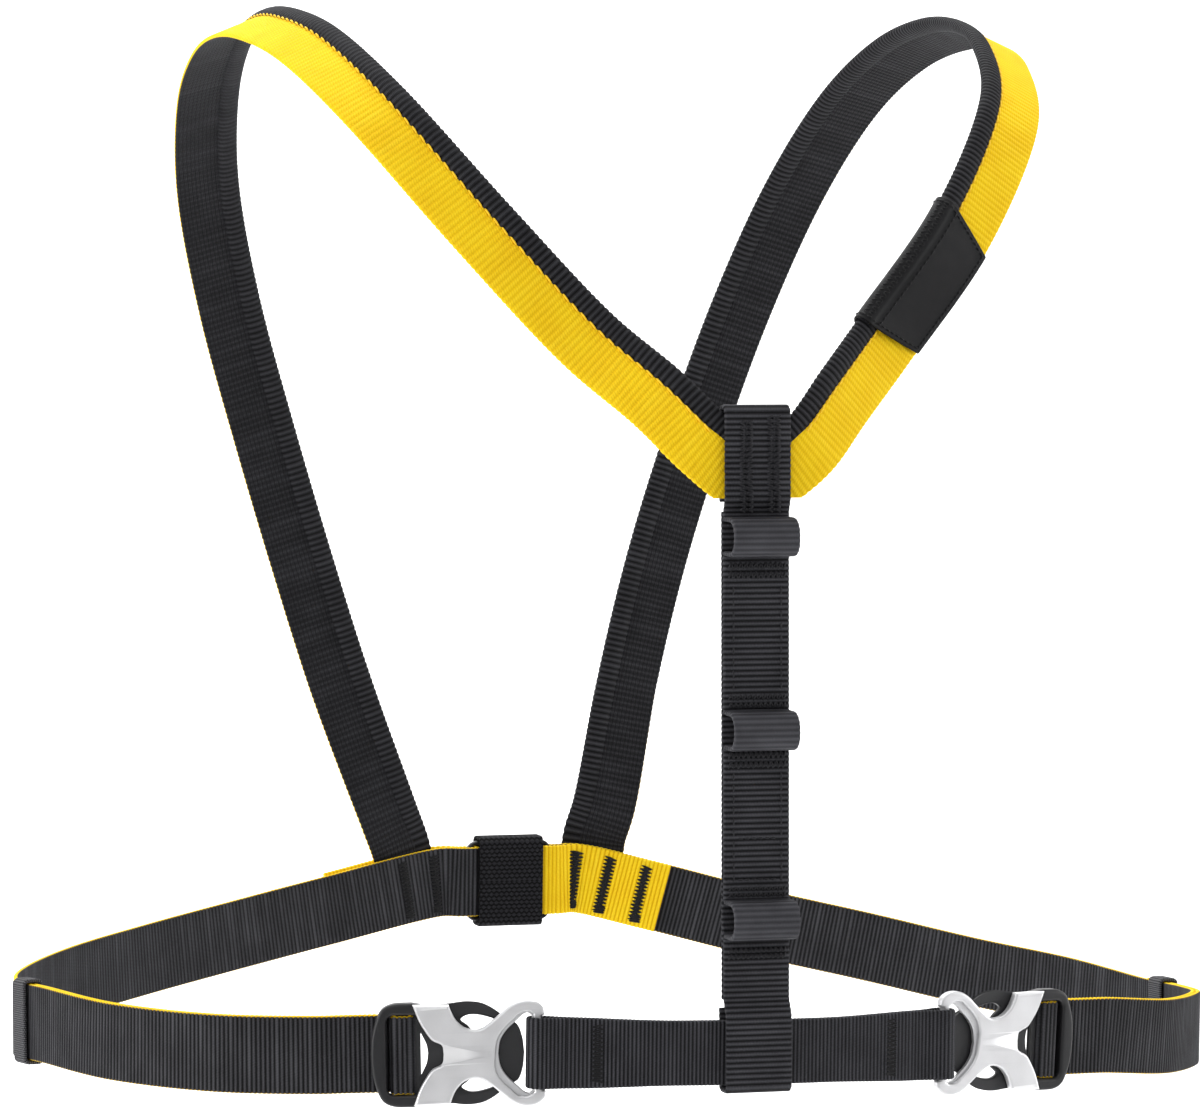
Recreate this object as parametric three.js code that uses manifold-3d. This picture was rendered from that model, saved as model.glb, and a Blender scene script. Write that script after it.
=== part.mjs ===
// Climbing chest harness in its worn form: a belt, two shoulder straps and a centre strap.
// Millimetres, +Z up, the chest faces -Y. The origin lies between the shoulders, level with
// the underside of the shoulder straps. Left and right are those of a viewer in front.
import * as THREE from 'three';
import Module from 'manifold-3d';

const wasm = await Module();
wasm.setup();
const { Manifold, CrossSection } = wasm;

// The body that the straps go round
const BELT_HALF_WIDTH = 203;
const CHEST_REACH = 150;
const BACK_REACH = 140;
const BELT_DROP = 322;
const SHOULDER_HALF_SPAN = 125;
const GAP = 0.3;

// Belt webbing, front band and their keepers
const BELT_WIDTH = 25;
const WEB = 1.6;
const BAND_WIDTH = 20.8;
const BAND_END_WIDTH = 22.8;
const BAND_HALF_SPAN = 68.5;
const BAND_PINCH = 9;
const BAND_STATIONS = 14;
const FOLD_STEPS = 6;
const KEEPER_LENGTH = 11;
const KEEPER_WALL = 1.2;
const KEEPER_SLACK = 0.6;
const KEEPER_AT = { left: 182, right: 191 };
const TAIL_PAST_KEEPER = 14;
const STRAIGHT_AFTER_BUCKLE = 10;

// Buckles: length runs from the ring (towards the centre strap) to the strap frame
const BUCKLE_TURN = THREE.MathUtils.degToRad(15);
const BUCKLE_DIP = { left: THREE.MathUtils.degToRad(1.6), right: THREE.MathUtils.degToRad(2.4) };
const BUCKLE_DROP = { left: 1.0, right: 1.006 };
const BUCKLE_HEIGHT = 33;
const RING_REACH = 22;
const FRAME_REACH = 32.8;
const HOOK_THICKNESS = 3;
const FRAME_THICKNESS = 4.3;
const LOOP_PLATE_THICKNESS = 1.9;
const RAIL = 3.3;
const SLOT = 2.2;
const STRAP_BAR = 3.8;
const OUTER_BAR = 4.9;
const BAR_SLACK = 0.35;
const BAR_SINK = 0.6;
const RING_BAR = 2.4;
const RING_LIP = 1.5;
const RING_SLOT = 3.4;
const FOLD_ROOM = 0.65;
const HUMP_ROUND = 1.8;

// Back adjuster and its sleeve, and how far the belt's folded ends reach from its middle
const BACK_DROP = 0.942;
const ADJUSTER_SHIFT = 9.5;
const ADJUSTER_LENGTH = 32;
const ADJUSTER_HEIGHT = 29.2;
const ADJUSTER_THICKNESS = 2.6;
const ADJUSTER_BAR = 4.3;
const SLEEVE_LENGTH = 24;
const SLEEVE_WALL = 1.3;
const SEAM_ROOM = 0.9;
const ADJUSTER_END = 2;
const SETTLE_LENGTH = 10;
const SWAP_LENGTH = 40;
const LEFT_FOLD_LENGTH = 68;
const RIGHT_FOLD_LENGTH = 58;

// Shoulder straps: flat webbing with a woven tube along the neck side
const STRAP_WEB_WIDTH = 15.3;
const STRAP_WEB = 1.8;
const TUBE_WIDTH = 7.4;
const TUBE_THICKNESS = 4.6;
const BACK_JOIN = { left: 0.222, right: 0.318 };
const JOIN_TILT = 16;
const PATCH_WALL = 0.9;
const PATCH_LENGTH = 45;
const PATCH_AT = 0.157;

// Centre strap. What lies past its cap is cut off with blocks of CUT_ROOM
const CENTRE_WIDTH = 22.3;
const CAP_HEIGHT = 35;
const CAP_ROOM = 0.8;
const CAP_EASING = 5;
const TUNNELS = [0.202, 0.5, 0.792];
const TUNNEL_HEIGHT = 12.5;
const TUNNEL_DEPTH = 10.5;
const TUNNEL_ROUND = 4.6;
const FOOT_ROUND = 1.8;
const WRAP_ROOM = 0.8;
const CENTRE_LENGTH = 0.64 * BELT_DROP;
const CENTRE_LEAN = 2.4;
const CENTRE_SPACING = 30;
const CUT_ROOM = 40;

const BLACK = { color: 0x222224, roughness: 0.85, metalness: 0 };
const YELLOW = { color: 0xf4c100, roughness: 0.8, metalness: 0 };
const PLASTIC = { color: 0x1b1b1d, roughness: 0.5, metalness: 0 };
const ALUMINIUM = { color: 0xc9cacc, roughness: 0.35, metalness: 1 };

const group = new THREE.Group();
const UP = new THREE.Vector3(0, 0, 1);

function addPiece(name, geometry, look) {
  const mesh = new THREE.Mesh(geometry, new THREE.MeshStandardMaterial(look));
  mesh.name = name;
  group.add(mesh);
}

// A line through the corners of a path. Each corner is [a, b, radius], and a radius makes an arc.
function roundedPath(corners, spacing) {
  const path = [];
  const points = corners.map(([a, b]) => new THREE.Vector2(a, b));
  corners.forEach(([, , radius = 0], i) => {
    const here = points[i];
    if (!radius || i === 0 || i === corners.length - 1) {
      path.push(here.clone());
      return;
    }
    const before = points[i - 1].clone().sub(here).normalize();
    const after = points[i + 1].clone().sub(here).normalize();
    const half = Math.acos(THREE.MathUtils.clamp(before.dot(after), -1, 1)) / 2;
    const reach = radius / Math.tan(half);
    const start = here.clone().addScaledVector(before, reach);
    const middle = before.clone().add(after).normalize();
    const centre = here.clone().addScaledVector(middle, radius / Math.sin(half));
    const sweep = Math.PI - 2 * half;
    const steps = Math.max(2, Math.ceil(sweep / 0.45));
    const arm = start.clone().sub(centre);
    const turn = Math.sign(before.x * after.y - before.y * after.x) * -1;
    for (let k = 0; k <= steps; k++) {
      const angle = (turn * sweep * k) / steps;
      path.push(arm.clone().rotateAround(new THREE.Vector2(), angle).add(centre));
    }
  });
  const fine = [path[0]];
  for (const next of path.slice(1)) {
    const last = fine[fine.length - 1];
    const parts = Math.max(1, Math.ceil(last.distanceTo(next) / spacing));
    for (let k = 1; k <= parts; k++) fine.push(last.clone().lerp(next, k / parts));
  }
  return fine;
}

// A solid through sections, each a list of points in order round the piece
function loft(sections, closed = false) {
  const around = sections[0].length;
  const corners = sections.flat();
  const faces = [];
  const spans = closed ? sections.length : sections.length - 1;
  for (let i = 0; i < spans; i++) {
    const here = i * around;
    const there = ((i + 1) % sections.length) * around;
    for (let k = 0; k < around; k++) {
      const next = (k + 1) % around;
      faces.push([here + k, here + next, there + next], [here + k, there + next, there + k]);
    }
  }
  if (!closed) {
    const flat = flattened(sections[0]);
    const cap = THREE.ShapeUtils.triangulateShape(flat, []);
    const turn = THREE.ShapeUtils.isClockWise(flat) ? 1 : -1;
    const far = (sections.length - 1) * around;
    for (const [a, b, c] of cap) {
      faces.push(turn > 0 ? [a, b, c] : [a, c, b]);
      faces.push(turn > 0 ? [far + a, far + c, far + b] : [far + a, far + b, far + c]);
    }
  }
  return outward(corners, faces);
}

// The section's own two coordinates, for the ends
function flattened(section) {
  return section.map((point) => point.local);
}

function outward(corners, faces) {
  const positions = corners.flatMap((p) => [p.x, p.y, p.z]);
  const geometry = new THREE.BufferGeometry();
  geometry.setAttribute('position', new THREE.Float32BufferAttribute(positions, 3));
  let volume = 0;
  for (const [a, b, c] of faces) {
    volume += corners[a].dot(corners[b].clone().cross(corners[c]));
  }
  geometry.setIndex(faces.flatMap(([a, b, c]) => (volume > 0 ? [a, b, c] : [a, c, b])));
  return geometry;
}

// The points of a section outline [across, thick] set in a frame
function section(outline, centre, side, normal) {
  return outline.map(([across, thick]) => {
    const point = centre.clone().addScaledVector(side, across).addScaledVector(normal, thick);
    point.local = new THREE.Vector2(across, thick);
    return point;
  });
}

function rectangle(width, thickness) {
  const w = width / 2;
  const t = thickness / 2;
  return [[-w, -t], [w, -t], [w, t], [-w, t]];
}

function roundedRectangle(width, thickness, radius, steps = 3) {
  const outline = [];
  const quarter = Math.PI / 2;
  for (const [sx, sy, from] of [[1, 1, 0], [-1, 1, 1], [-1, -1, 2], [1, -1, 3]]) {
    for (let k = 0; k <= steps; k++) {
      const angle = (from + k / steps) * quarter;
      outline.push([
        sx * (width / 2 - radius) + radius * Math.cos(angle),
        sy * (thickness / 2 - radius) + radius * Math.sin(angle),
      ]);
    }
  }
  return outline;
}

function solidOf(geometry) {
  const source = geometry.toNonIndexed();
  const merged = new Map();
  const places = [];
  const corners = [];
  const position = source.getAttribute('position');
  for (let i = 0; i < position.count; i++) {
    const place = [position.getX(i), position.getY(i), position.getZ(i)];
    const key = place.map((value) => Math.round(value * 1e4)).join();
    if (!merged.has(key)) {
      merged.set(key, places.length / 3);
      places.push(...place);
    }
    corners.push(merged.get(key));
  }
  return new Manifold(new wasm.Mesh({
    numProp: 3,
    vertProperties: new Float32Array(places),
    triVerts: new Uint32Array(corners),
  }));
}

function geometryOf(solid) {
  const mesh = solid.getMesh();
  const geometry = new THREE.BufferGeometry();
  const places = new Float32Array((mesh.vertProperties.length / mesh.numProp) * 3);
  for (let i = 0; i < places.length / 3; i++) {
    places.set(mesh.vertProperties.slice(i * mesh.numProp, i * mesh.numProp + 3), i * 3);
  }
  geometry.setAttribute('position', new THREE.BufferAttribute(places, 3));
  geometry.setIndex([...mesh.triVerts]);
  return geometry;
}

// Belt route beyond the buckles. across is a share of BELT_HALF_WIDTH, deep a share of
// CHEST_REACH in front and of BACK_REACH behind, left and right a share of BELT_DROP.
const beltRows = [
  { across: 0.8, deep: -0.68, left: 1.008, right: 1.026 },
  { across: 0.925, deep: -0.46, left: 1.009, right: 1.035 },
  { across: 0.99, deep: -0.2, left: 1.008, right: 1.047 },
  { across: 1.0, deep: 0.06, left: 1.015, right: 1.054 },
  { across: 0.936, deep: 0.336, left: 1.018, right: 1.046 },
  { across: 0.817, deep: 0.571, left: 1.013, right: 1.035 },
  { across: 0.66, deep: 0.75, left: 1.003, right: 1.014 },
  { across: 0.482, deep: 0.871, left: 0.987, right: 0.99 },
  { across: 0.297, deep: 0.948, left: 0.967, right: 0.96 },
];
const PAIR_STEP = (WEB + GAP) / 2;

// Distances from the middle of a pair of belt layers out to the pieces of the buckle
const FRAME_BACK = PAIR_STEP + WEB / 2 + GAP;
const HOOK_MIDDLE = FRAME_BACK + LOOP_PLATE_THICKNESS + GAP + HOOK_THICKNESS / 2;

const signOf = (hand) => (hand === 'left' ? -1 : 1);

// The middle of the front band is an arc that turns by BUCKLE_TURN on its way to each ring
const BAND_RADIUS = BAND_HALF_SPAN / Math.sin(BUCKLE_TURN);
const bandSag = BAND_RADIUS * (1 - Math.cos(BUCKLE_TURN));
const BAND_FOLD = 0.71 * RING_BAR + FOLD_ROOM + WEB / 2;
const barToWaist = RING_REACH - RING_BAR / 2 - RING_LIP;

function buckleFrame(hand) {
  const sign = signOf(hand);
  const dip = BUCKLE_DIP[hand];
  const flat = new THREE.Vector3(sign * Math.cos(BUCKLE_TURN), Math.sin(BUCKLE_TURN), 0);
  const along = flat.multiplyScalar(Math.cos(dip)).addScaledVector(UP, -Math.sin(dip));
  const out = new THREE.Vector3(sign * Math.sin(BUCKLE_TURN), -Math.cos(BUCKLE_TURN), 0);
  const bar = new THREE.Vector3(
    sign * BAND_HALF_SPAN,
    bandSag - CHEST_REACH,
    -BELT_DROP * BUCKLE_DROP[hand],
  );
  return { along, out, waist: bar.addScaledVector(along, barToWaist) };
}

// One side of the belt: its middle line from the buckle's waist to past the back adjuster
function beltLine(hand) {
  const sign = signOf(hand);
  const { along, out, waist } = buckleFrame(hand);
  const start = waist.clone().addScaledVector(out, -HOOK_MIDDLE);
  const ahead = (s) => start.clone().addScaledVector(along, s);
  const straight = FRAME_REACH + STRAIGHT_AFTER_BUCKLE;
  const backAt = (t) => new THREE.Vector3(ADJUSTER_SHIFT + sign * t, BACK_REACH, -BELT_DROP * BACK_DROP);
  const backHalf = ADJUSTER_LENGTH / 2 + ADJUSTER_END;
  const rows = beltRows.map((row) => new THREE.Vector3(
    sign * row.across * BELT_HALF_WIDTH,
    row.deep * (row.deep < 0 ? CHEST_REACH : BACK_REACH),
    -row[hand] * BELT_DROP,
  ));
  const knots = [
    ahead(straight - 10), ahead(straight), ahead(straight + 8), ...rows,
    backAt(backHalf + 8), backAt(backHalf), backAt(backHalf - 10),
  ];
  const curve = new THREE.CatmullRomCurve3(knots, false, 'centripetal');
  const spans = knots.length - 1;
  const samples = 30 * (spans - 2);
  const points = [start.clone()];
  for (let i = 0; i <= samples; i++) {
    points.push(curve.getPoint((1 + ((spans - 2) * i) / samples) / spans));
  }
  points.push(backAt(-backHalf));
  const travelled = [0];
  for (let i = 1; i < points.length; i++) {
    travelled.push(travelled[i - 1] + points[i].distanceTo(points[i - 1]));
  }
  const whole = travelled[travelled.length - 1];
  const middleAt = (s) => {
    const held = THREE.MathUtils.clamp(s, 0, whole);
    let i = travelled.findIndex((value) => value >= held);
    i = Math.max(i, 1);
    const share = (s - travelled[i - 1]) / (travelled[i] - travelled[i - 1]);
    return points[i - 1].clone().lerp(points[i], share);
  };
  const frameAt = (s) => {
    const tangent = middleAt(s + 1.5).sub(middleAt(s - 1.5)).normalize();
    const outward = tangent.clone().cross(UP).multiplyScalar(sign).normalize();
    const up = outward.clone().cross(tangent).multiplyScalar(sign).normalize();
    if (up.z < 0) up.negate();
    return { tangent, outward, up };
  };
  const place = (s, out = 0, high = 0) => {
    const frame = frameAt(s);
    return middleAt(s).addScaledVector(frame.outward, out).addScaledVector(frame.up, high);
  };
  return { place, frameAt, back: whole - backHalf, rows };
}

const beltLines = { left: beltLine('left'), right: beltLine('right') };

// Webbing that follows a path of [along, out] on a belt line
function ribbonOn(line, corners, width, thickness, spacing = 9) {
  const path = roundedPath(corners, spacing);
  const places = path.map((point) => line.place(point.x, point.y));
  const sections = path.map((point, i) => {
    const before = places[Math.max(i - 1, 0)];
    const after = places[Math.min(i + 1, places.length - 1)];
    const direction = after.clone().sub(before).normalize();
    const { up } = line.frameAt(point.x);
    const normal = up.clone().cross(direction).normalize();
    return section(rectangle(width, thickness), places[i], up, normal);
  });
  return loft(sections);
}

// Positions along a buckle from its waist towards the strap, shared by frame and strap
const outerSlotMiddle = FRAME_REACH - OUTER_BAR - SLOT / 2;
const innerSlotMiddle = outerSlotMiddle - SLOT - STRAP_BAR - 2 * BAR_SLACK;
const barTop = HOOK_MIDDLE - BAR_SINK - WEB;
const humpLevel = barTop + GAP + WEB / 2;
const bendRound = WEB / 2 + GAP;

// Where the loose ends stop along the belt lines
const tailEnd = (hand) => KEEPER_AT[hand] + TAIL_PAST_KEEPER;

// Layers at the back, as distances out from the middle of the belt
const adjusterLayer = ADJUSTER_THICKNESS / 2 + GAP + WEB / 2;
const foldSlot = ADJUSTER_LENGTH / 2 - ADJUSTER_BAR;
const settle = ADJUSTER_LENGTH / 2 + SETTLE_LENGTH;
const adjusterEnd = ADJUSTER_LENGTH / 2 + ADJUSTER_END;

function frontCorners(hand) {
  return [
    [tailEnd(hand), PAIR_STEP],
    [outerSlotMiddle, PAIR_STEP, bendRound],
    [outerSlotMiddle, humpLevel, HUMP_ROUND],
    [innerSlotMiddle, humpLevel, HUMP_ROUND],
    [innerSlotMiddle, -PAIR_STEP, bendRound],
  ];
}

// The left strap comes in on the inside and folds back outside, over the shoulder strap's end
const leftShoulderOut = -PAIR_STEP + WEB / 2 + SEAM_ROOM + STRAP_WEB / 2;
const leftFoldOut = leftShoulderOut + STRAP_WEB / 2 + SEAM_ROOM + WEB / 2;
function leftBeltCorners() {
  const { back } = beltLines.left;
  return [
    ...frontCorners('left'),
    [back - settle, -PAIR_STEP],
    [back - adjusterEnd, -adjusterLayer],
    [back - foldSlot, -adjusterLayer, bendRound],
    [back - foldSlot, adjusterLayer, bendRound],
    [back - adjusterEnd, adjusterLayer],
    [back - settle, leftFoldOut],
    [back - LEFT_FOLD_LENGTH, leftFoldOut],
  ];
}

// The right strap moves to the outside on its way back and its folded end shows inside
const rightShoulderOut = PAIR_STEP + WEB / 2 + SEAM_ROOM + STRAP_WEB / 2;
function rightBeltCorners() {
  const { back } = beltLines.right;
  return [
    ...frontCorners('right'),
    [tailEnd('right') + SWAP_LENGTH / 2, -PAIR_STEP],
    [back - RIGHT_FOLD_LENGTH - SWAP_LENGTH, PAIR_STEP],
    [back - settle, PAIR_STEP],
    [back - adjusterEnd, adjusterLayer],
    [back - foldSlot, adjusterLayer, bendRound],
    [back - foldSlot, -adjusterLayer, bendRound],
    [back - adjusterEnd, -adjusterLayer],
    [back - settle, -PAIR_STEP],
    [back - RIGHT_FOLD_LENGTH, -PAIR_STEP],
  ];
}

// A band wrapped round what lies on a belt line: an outer tube less its hollow
function wrapOn(line, from, to, inside, wall, radius) {
  const tube = (grow, lengthen, round) => {
    const outline = roundedRectangle(inside.high + 2 * grow, inside.deep + 2 * grow, round);
    const stations = 4;
    const sections = [];
    for (let i = 0; i <= stations; i++) {
      const s = from - lengthen + ((to - from + 2 * lengthen) * i) / stations;
      const { up, outward: out } = line.frameAt(s);
      sections.push(section(outline, line.place(s, inside.out), up, out));
    }
    return solidOf(loft(sections));
  };
  return geometryOf(tube(wall, 0, radius + wall).subtract(tube(0, 1, radius)));
}

function addBelt() {
  addPiece('left_belt_strap', ribbonOn(beltLines.left, leftBeltCorners(), BELT_WIDTH, WEB), BLACK);
  addPiece('right_belt_strap', ribbonOn(beltLines.right, rightBeltCorners(), BELT_WIDTH, WEB), BLACK);
  for (const hand of ['left', 'right']) {
    const from = KEEPER_AT[hand] - KEEPER_LENGTH / 2;
    const inside = {
      high: BELT_WIDTH + 2 * GAP,
      deep: 2 * (PAIR_STEP + WEB / 2 + KEEPER_SLACK),
      out: 0,
    };
    const keeper = wrapOn(beltLines[hand], from, from + KEEPER_LENGTH, inside, KEEPER_WALL, 0.6);
    addPiece(`${hand}_end_keeper`, keeper, BLACK);
  }
}

function addBack() {
  const line = beltLines.left;
  const opening = BELT_WIDTH + 2 * GAP + 0.2;
  const plate = Manifold.cube([ADJUSTER_LENGTH, ADJUSTER_THICKNESS, ADJUSTER_HEIGHT], true);
  const slotWidth = WEB + 2 * GAP + 0.4;
  const cuts = [-foldSlot, foldSlot].map((x) => (
    Manifold.cube([slotWidth, ADJUSTER_THICKNESS + 2, opening], true).translate([x, 0, 0])
  ));
  const window = Manifold.cube([foldSlot, ADJUSTER_THICKNESS + 2, opening], true);
  const middle = line.place(line.back);
  const solid = plate.subtract(cuts[0]).subtract(cuts[1]).subtract(window)
    .translate([middle.x, middle.y, middle.z]);
  addPiece('back_adjuster', geometryOf(solid), PLASTIC);

  const inside = {
    high: ADJUSTER_HEIGHT + 2 * GAP,
    deep: 2 * (adjusterLayer + WEB / 2 + GAP),
    out: 0,
  };
  const from = line.back - SLEEVE_LENGTH / 2;
  const sleeve = wrapOn(line, from, from + SLEEVE_LENGTH, inside, SLEEVE_WALL, 0.8);
  addPiece('back_keeper', sleeve, BLACK);
}

// Front band: one closed loop of webbing that goes round the ring of each buckle
function bandFrame(x) {
  const angle = THREE.MathUtils.clamp(x / BAND_RADIUS, -BUCKLE_TURN, BUCKLE_TURN);
  const beyond = x - angle * BAND_RADIUS;
  const drop = THREE.MathUtils.lerp(BUCKLE_DROP.left, BUCKLE_DROP.right, x / BAND_HALF_SPAN / 2 + 0.5);
  const centre = new THREE.Vector3(
    BAND_RADIUS * Math.sin(angle) + beyond * Math.cos(angle),
    BAND_RADIUS * (1 - Math.cos(angle)) - CHEST_REACH + beyond * Math.sin(angle),
    -BELT_DROP * drop,
  );
  return {
    centre,
    tangent: new THREE.Vector3(Math.cos(angle), Math.sin(angle), 0),
    outward: new THREE.Vector3(Math.sin(angle), -Math.cos(angle), 0),
  };
}

function addFrontBand() {
  const end = BAND_RADIUS * BUCKLE_TURN;
  const straightEnd = end - BAND_PINCH;
  const front = [];
  for (let k = 0; k <= BAND_STATIONS; k++) {
    front.push([straightEnd * ((2 * k) / BAND_STATIONS - 1), PAIR_STEP]);
  }
  for (let k = 0; k <= FOLD_STEPS; k++) {
    const angle = Math.PI * (0.5 - k / FOLD_STEPS);
    front.push([end + BAND_FOLD * Math.cos(angle), BAND_FOLD * Math.sin(angle)]);
  }
  const route = [...front, ...front.map(([x, n]) => [-x, -n])];
  const path = route.map(([x, n]) => {
    const frame = bandFrame(x);
    return frame.centre.addScaledVector(frame.outward, n);
  });
  const count = path.length;
  const sections = path.map((place, i) => {
    const direction = path[(i + 1) % count].clone().sub(path[(i + count - 1) % count]).normalize();
    const normal = UP.clone().cross(direction).normalize();
    const spread = THREE.MathUtils.smoothstep(Math.abs(route[i][0]), 0.35 * end, 0.9 * end);
    const width = THREE.MathUtils.lerp(BAND_WIDTH, BAND_END_WIDTH, spread);
    return section(rectangle(width, WEB), place, UP, normal);
  });
  addPiece('front_band', loft(sections, true), BLACK);
}

// Half outlines of a buckle from in front, top side only. along is a share of RING_REACH
// towards the ring and of FRAME_REACH towards the strap; up is a share of half its height.
const hookTop = [
  { along: -0.595, up: 0.955 },
  { along: -0.26, up: 0.945 },
  { along: -0.245, up: 0.85 },
  { along: -0.2, up: 0.67 },
  { along: -0.125, up: 0.52 },
  { along: -0.03, up: 0.47 },
  { along: 0.06, up: 0.49 },
  { along: 0.2, up: 0.61 },
  { along: 0.33, up: 0.76 },
  { along: 0.46, up: 0.9 },
  { along: 0.6, up: 1.0 },
  { along: 0.74, up: 1.02 },
  { along: 0.87, up: 0.98 },
  { along: 0.97, up: 0.86 },
  { along: 1.0, up: 0.7 },
];
const hookWaist = [
  { along: -0.55, up: 0.62 },
  { along: -0.5, up: 0.46 },
  { along: -0.43, up: 0.27 },
  { along: -0.335, up: 0.19 },
  { along: -0.32, up: 0 },
];
const ringTop = [
  { along: 0.31, up: 0 },
  { along: 0.345, up: 0.26 },
  { along: 0.43, up: 0.44 },
  { along: 0.56, up: 0.6 },
  { along: 0.7, up: 0.77 },
];
const frameTop = [
  { along: -1.0, up: 0 },
  { along: -0.985, up: 0.35 },
  { along: -0.94, up: 0.7 },
  { along: -0.89, up: 0.9 },
  { along: -0.8, up: 0.99 },
  { along: -0.615, up: 1.0 },
];
const loopTop = [
  { along: -0.575, up: 0 },
  { along: -0.575, up: 0.9 },
  { along: -0.27, up: 0.92 },
  { along: -0.09, up: 0.96 },
  { along: 0.06, up: 0.93 },
  { along: 0.2, up: 0.84 },
  { along: 0.35, up: 0.7 },
  { along: 0.56, up: 0.45 },
  { along: 0.64, up: 0.25 },
  { along: 0.67, up: 0 },
];
const loopWindow = [
  { along: -0.16, up: 0.5 },
  { along: -0.18, up: 0.64 },
  { along: -0.06, up: 0.74 },
  { along: 0.12, up: 0.73 },
  { along: 0.3, up: 0.64 },
  { along: 0.2, up: 0.4 },
  { along: 0.0, up: 0.34 },
];
const lensWindow = [
  { along: -0.44, up: 0 },
  { along: -0.46, up: 0.25 },
  { along: -0.52, up: 0.5 },
  { along: -0.53, up: 0.5 },
];

const buckleXY = ({ along, up }) => [
  along * (along < 0 ? FRAME_REACH : RING_REACH),
  (up * BUCKLE_HEIGHT) / 2,
];

// The top half and its mirror image, as one closed outline
function mirrored(rows) {
  const top = rows.map(buckleXY);
  const bottom = top.filter(([, up]) => Math.abs(up) > 1e-6).map(([along, up]) => [along, -up]);
  return [...top, ...bottom.reverse()];
}

// A plate of the given outline between two distances out from the belt's middle line
function plate(outline, from, to) {
  const flat = new CrossSection([outline], 'NonZero');
  return flat.extrude(to - from).translate([0, 0, from]);
}

function slab(fromAlong, toAlong, height, from, to) {
  return Manifold.cube([toAlong - fromAlong, height, to - from])
    .translate([fromAlong, -height / 2, from]);
}

function hookSolid() {
  const from = HOOK_MIDDLE - HOOK_THICKNESS / 2;
  const to = HOOK_MIDDLE + HOOK_THICKNESS / 2;
  const outline = mirrored([...[...hookWaist].reverse(), ...hookTop]);
  const barInside = barToWaist - RING_BAR / 2;
  const roomHeight = BAND_END_WIDTH + 2 * GAP + 0.4;
  const opening = mirrored(ringTop);
  const slot = slab(barInside - RING_SLOT, barInside, roomHeight, from - 1, to + 1);
  const foldRoom = slab(barInside + RING_BAR, RING_REACH + 1, roomHeight, from - 1, to + 1);
  const overBar = slab(barInside - 1, RING_REACH + 1, roomHeight, HOOK_MIDDLE + RING_BAR / 2, to + 1);
  const underBar = slab(barInside - 1, RING_REACH + 1, roomHeight, from - 1, HOOK_MIDDLE - RING_BAR / 2);
  return plate(outline, from, to)
    .subtract(plate(opening, from - 1, to + 1))
    .subtract(slot)
    .subtract(foldRoom)
    .subtract(overBar)
    .subtract(underBar);
}

function frameSolid() {
  const back = FRAME_BACK;
  const front = FRAME_BACK + FRAME_THICKNESS;
  const loopFront = FRAME_BACK + LOOP_PLATE_THICKNESS;
  const edge = -frameTop[frameTop.length - 1].along * FRAME_REACH;
  const windowHeight = BUCKLE_HEIGHT - 2 * RAIL;
  const outerWall = outerSlotMiddle + SLOT / 2;
  const ladder = plate(mirrored(frameTop), back, front)
    .subtract(slab(-outerWall, -edge + 1, windowHeight, back - 1, front + 1));
  const barHalf = (outerSlotMiddle - innerSlotMiddle - SLOT - BAR_SLACK) / 2;
  const barMiddle = (outerSlotMiddle + innerSlotMiddle) / 2;
  const bar = slab(-barMiddle - barHalf, -barMiddle + barHalf, windowHeight + 2, back + 0.5, barTop);
  const window = (rows) => plate(rows.map(buckleXY), back - 1, loopFront + 1);
  const loop = plate(mirrored(loopTop), back, loopFront)
    .subtract(window(loopWindow))
    .subtract(window(loopWindow.map(({ along, up }) => ({ along, up: -up })).reverse()))
    .subtract(plate(mirrored(lensWindow), back - 1, loopFront + 1));
  const rails = slab(-edge - 1, -edge + 6, BUCKLE_HEIGHT - 2, back, loopFront)
    .subtract(slab(-edge - 2, -edge + 7, windowHeight, back - 1, loopFront + 1));
  return ladder.add(bar).add(loop).add(rails);
}

// A buckle is made flat, with x along it, y up and z out, then turned into its place
function setBuckle(solid, hand) {
  const { along, out, waist } = buckleFrame(hand);
  const away = along.clone().negate();
  const up = away.clone().cross(out).normalize();
  if (up.z < 0) up.negate();
  const matrix = new THREE.Matrix4().makeBasis(away, up, out);
  matrix.setPosition(waist.clone().addScaledVector(out, -HOOK_MIDDLE));
  const geometry = geometryOf(solid).applyMatrix4(matrix);
  if (matrix.determinant() < 0) {
    const order = geometry.getIndex().array;
    for (let i = 0; i < order.length; i += 3) {
      [order[i + 1], order[i + 2]] = [order[i + 2], order[i + 1]];
    }
  }
  return geometry;
}

function addBuckles() {
  for (const hand of ['left', 'right']) {
    addPiece(`${hand}_buckle_hook`, setBuckle(hookSolid(), hand), ALUMINIUM);
    addPiece(`${hand}_buckle_frame`, setBuckle(frameSolid(), hand), PLASTIC);
  }
}

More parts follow.
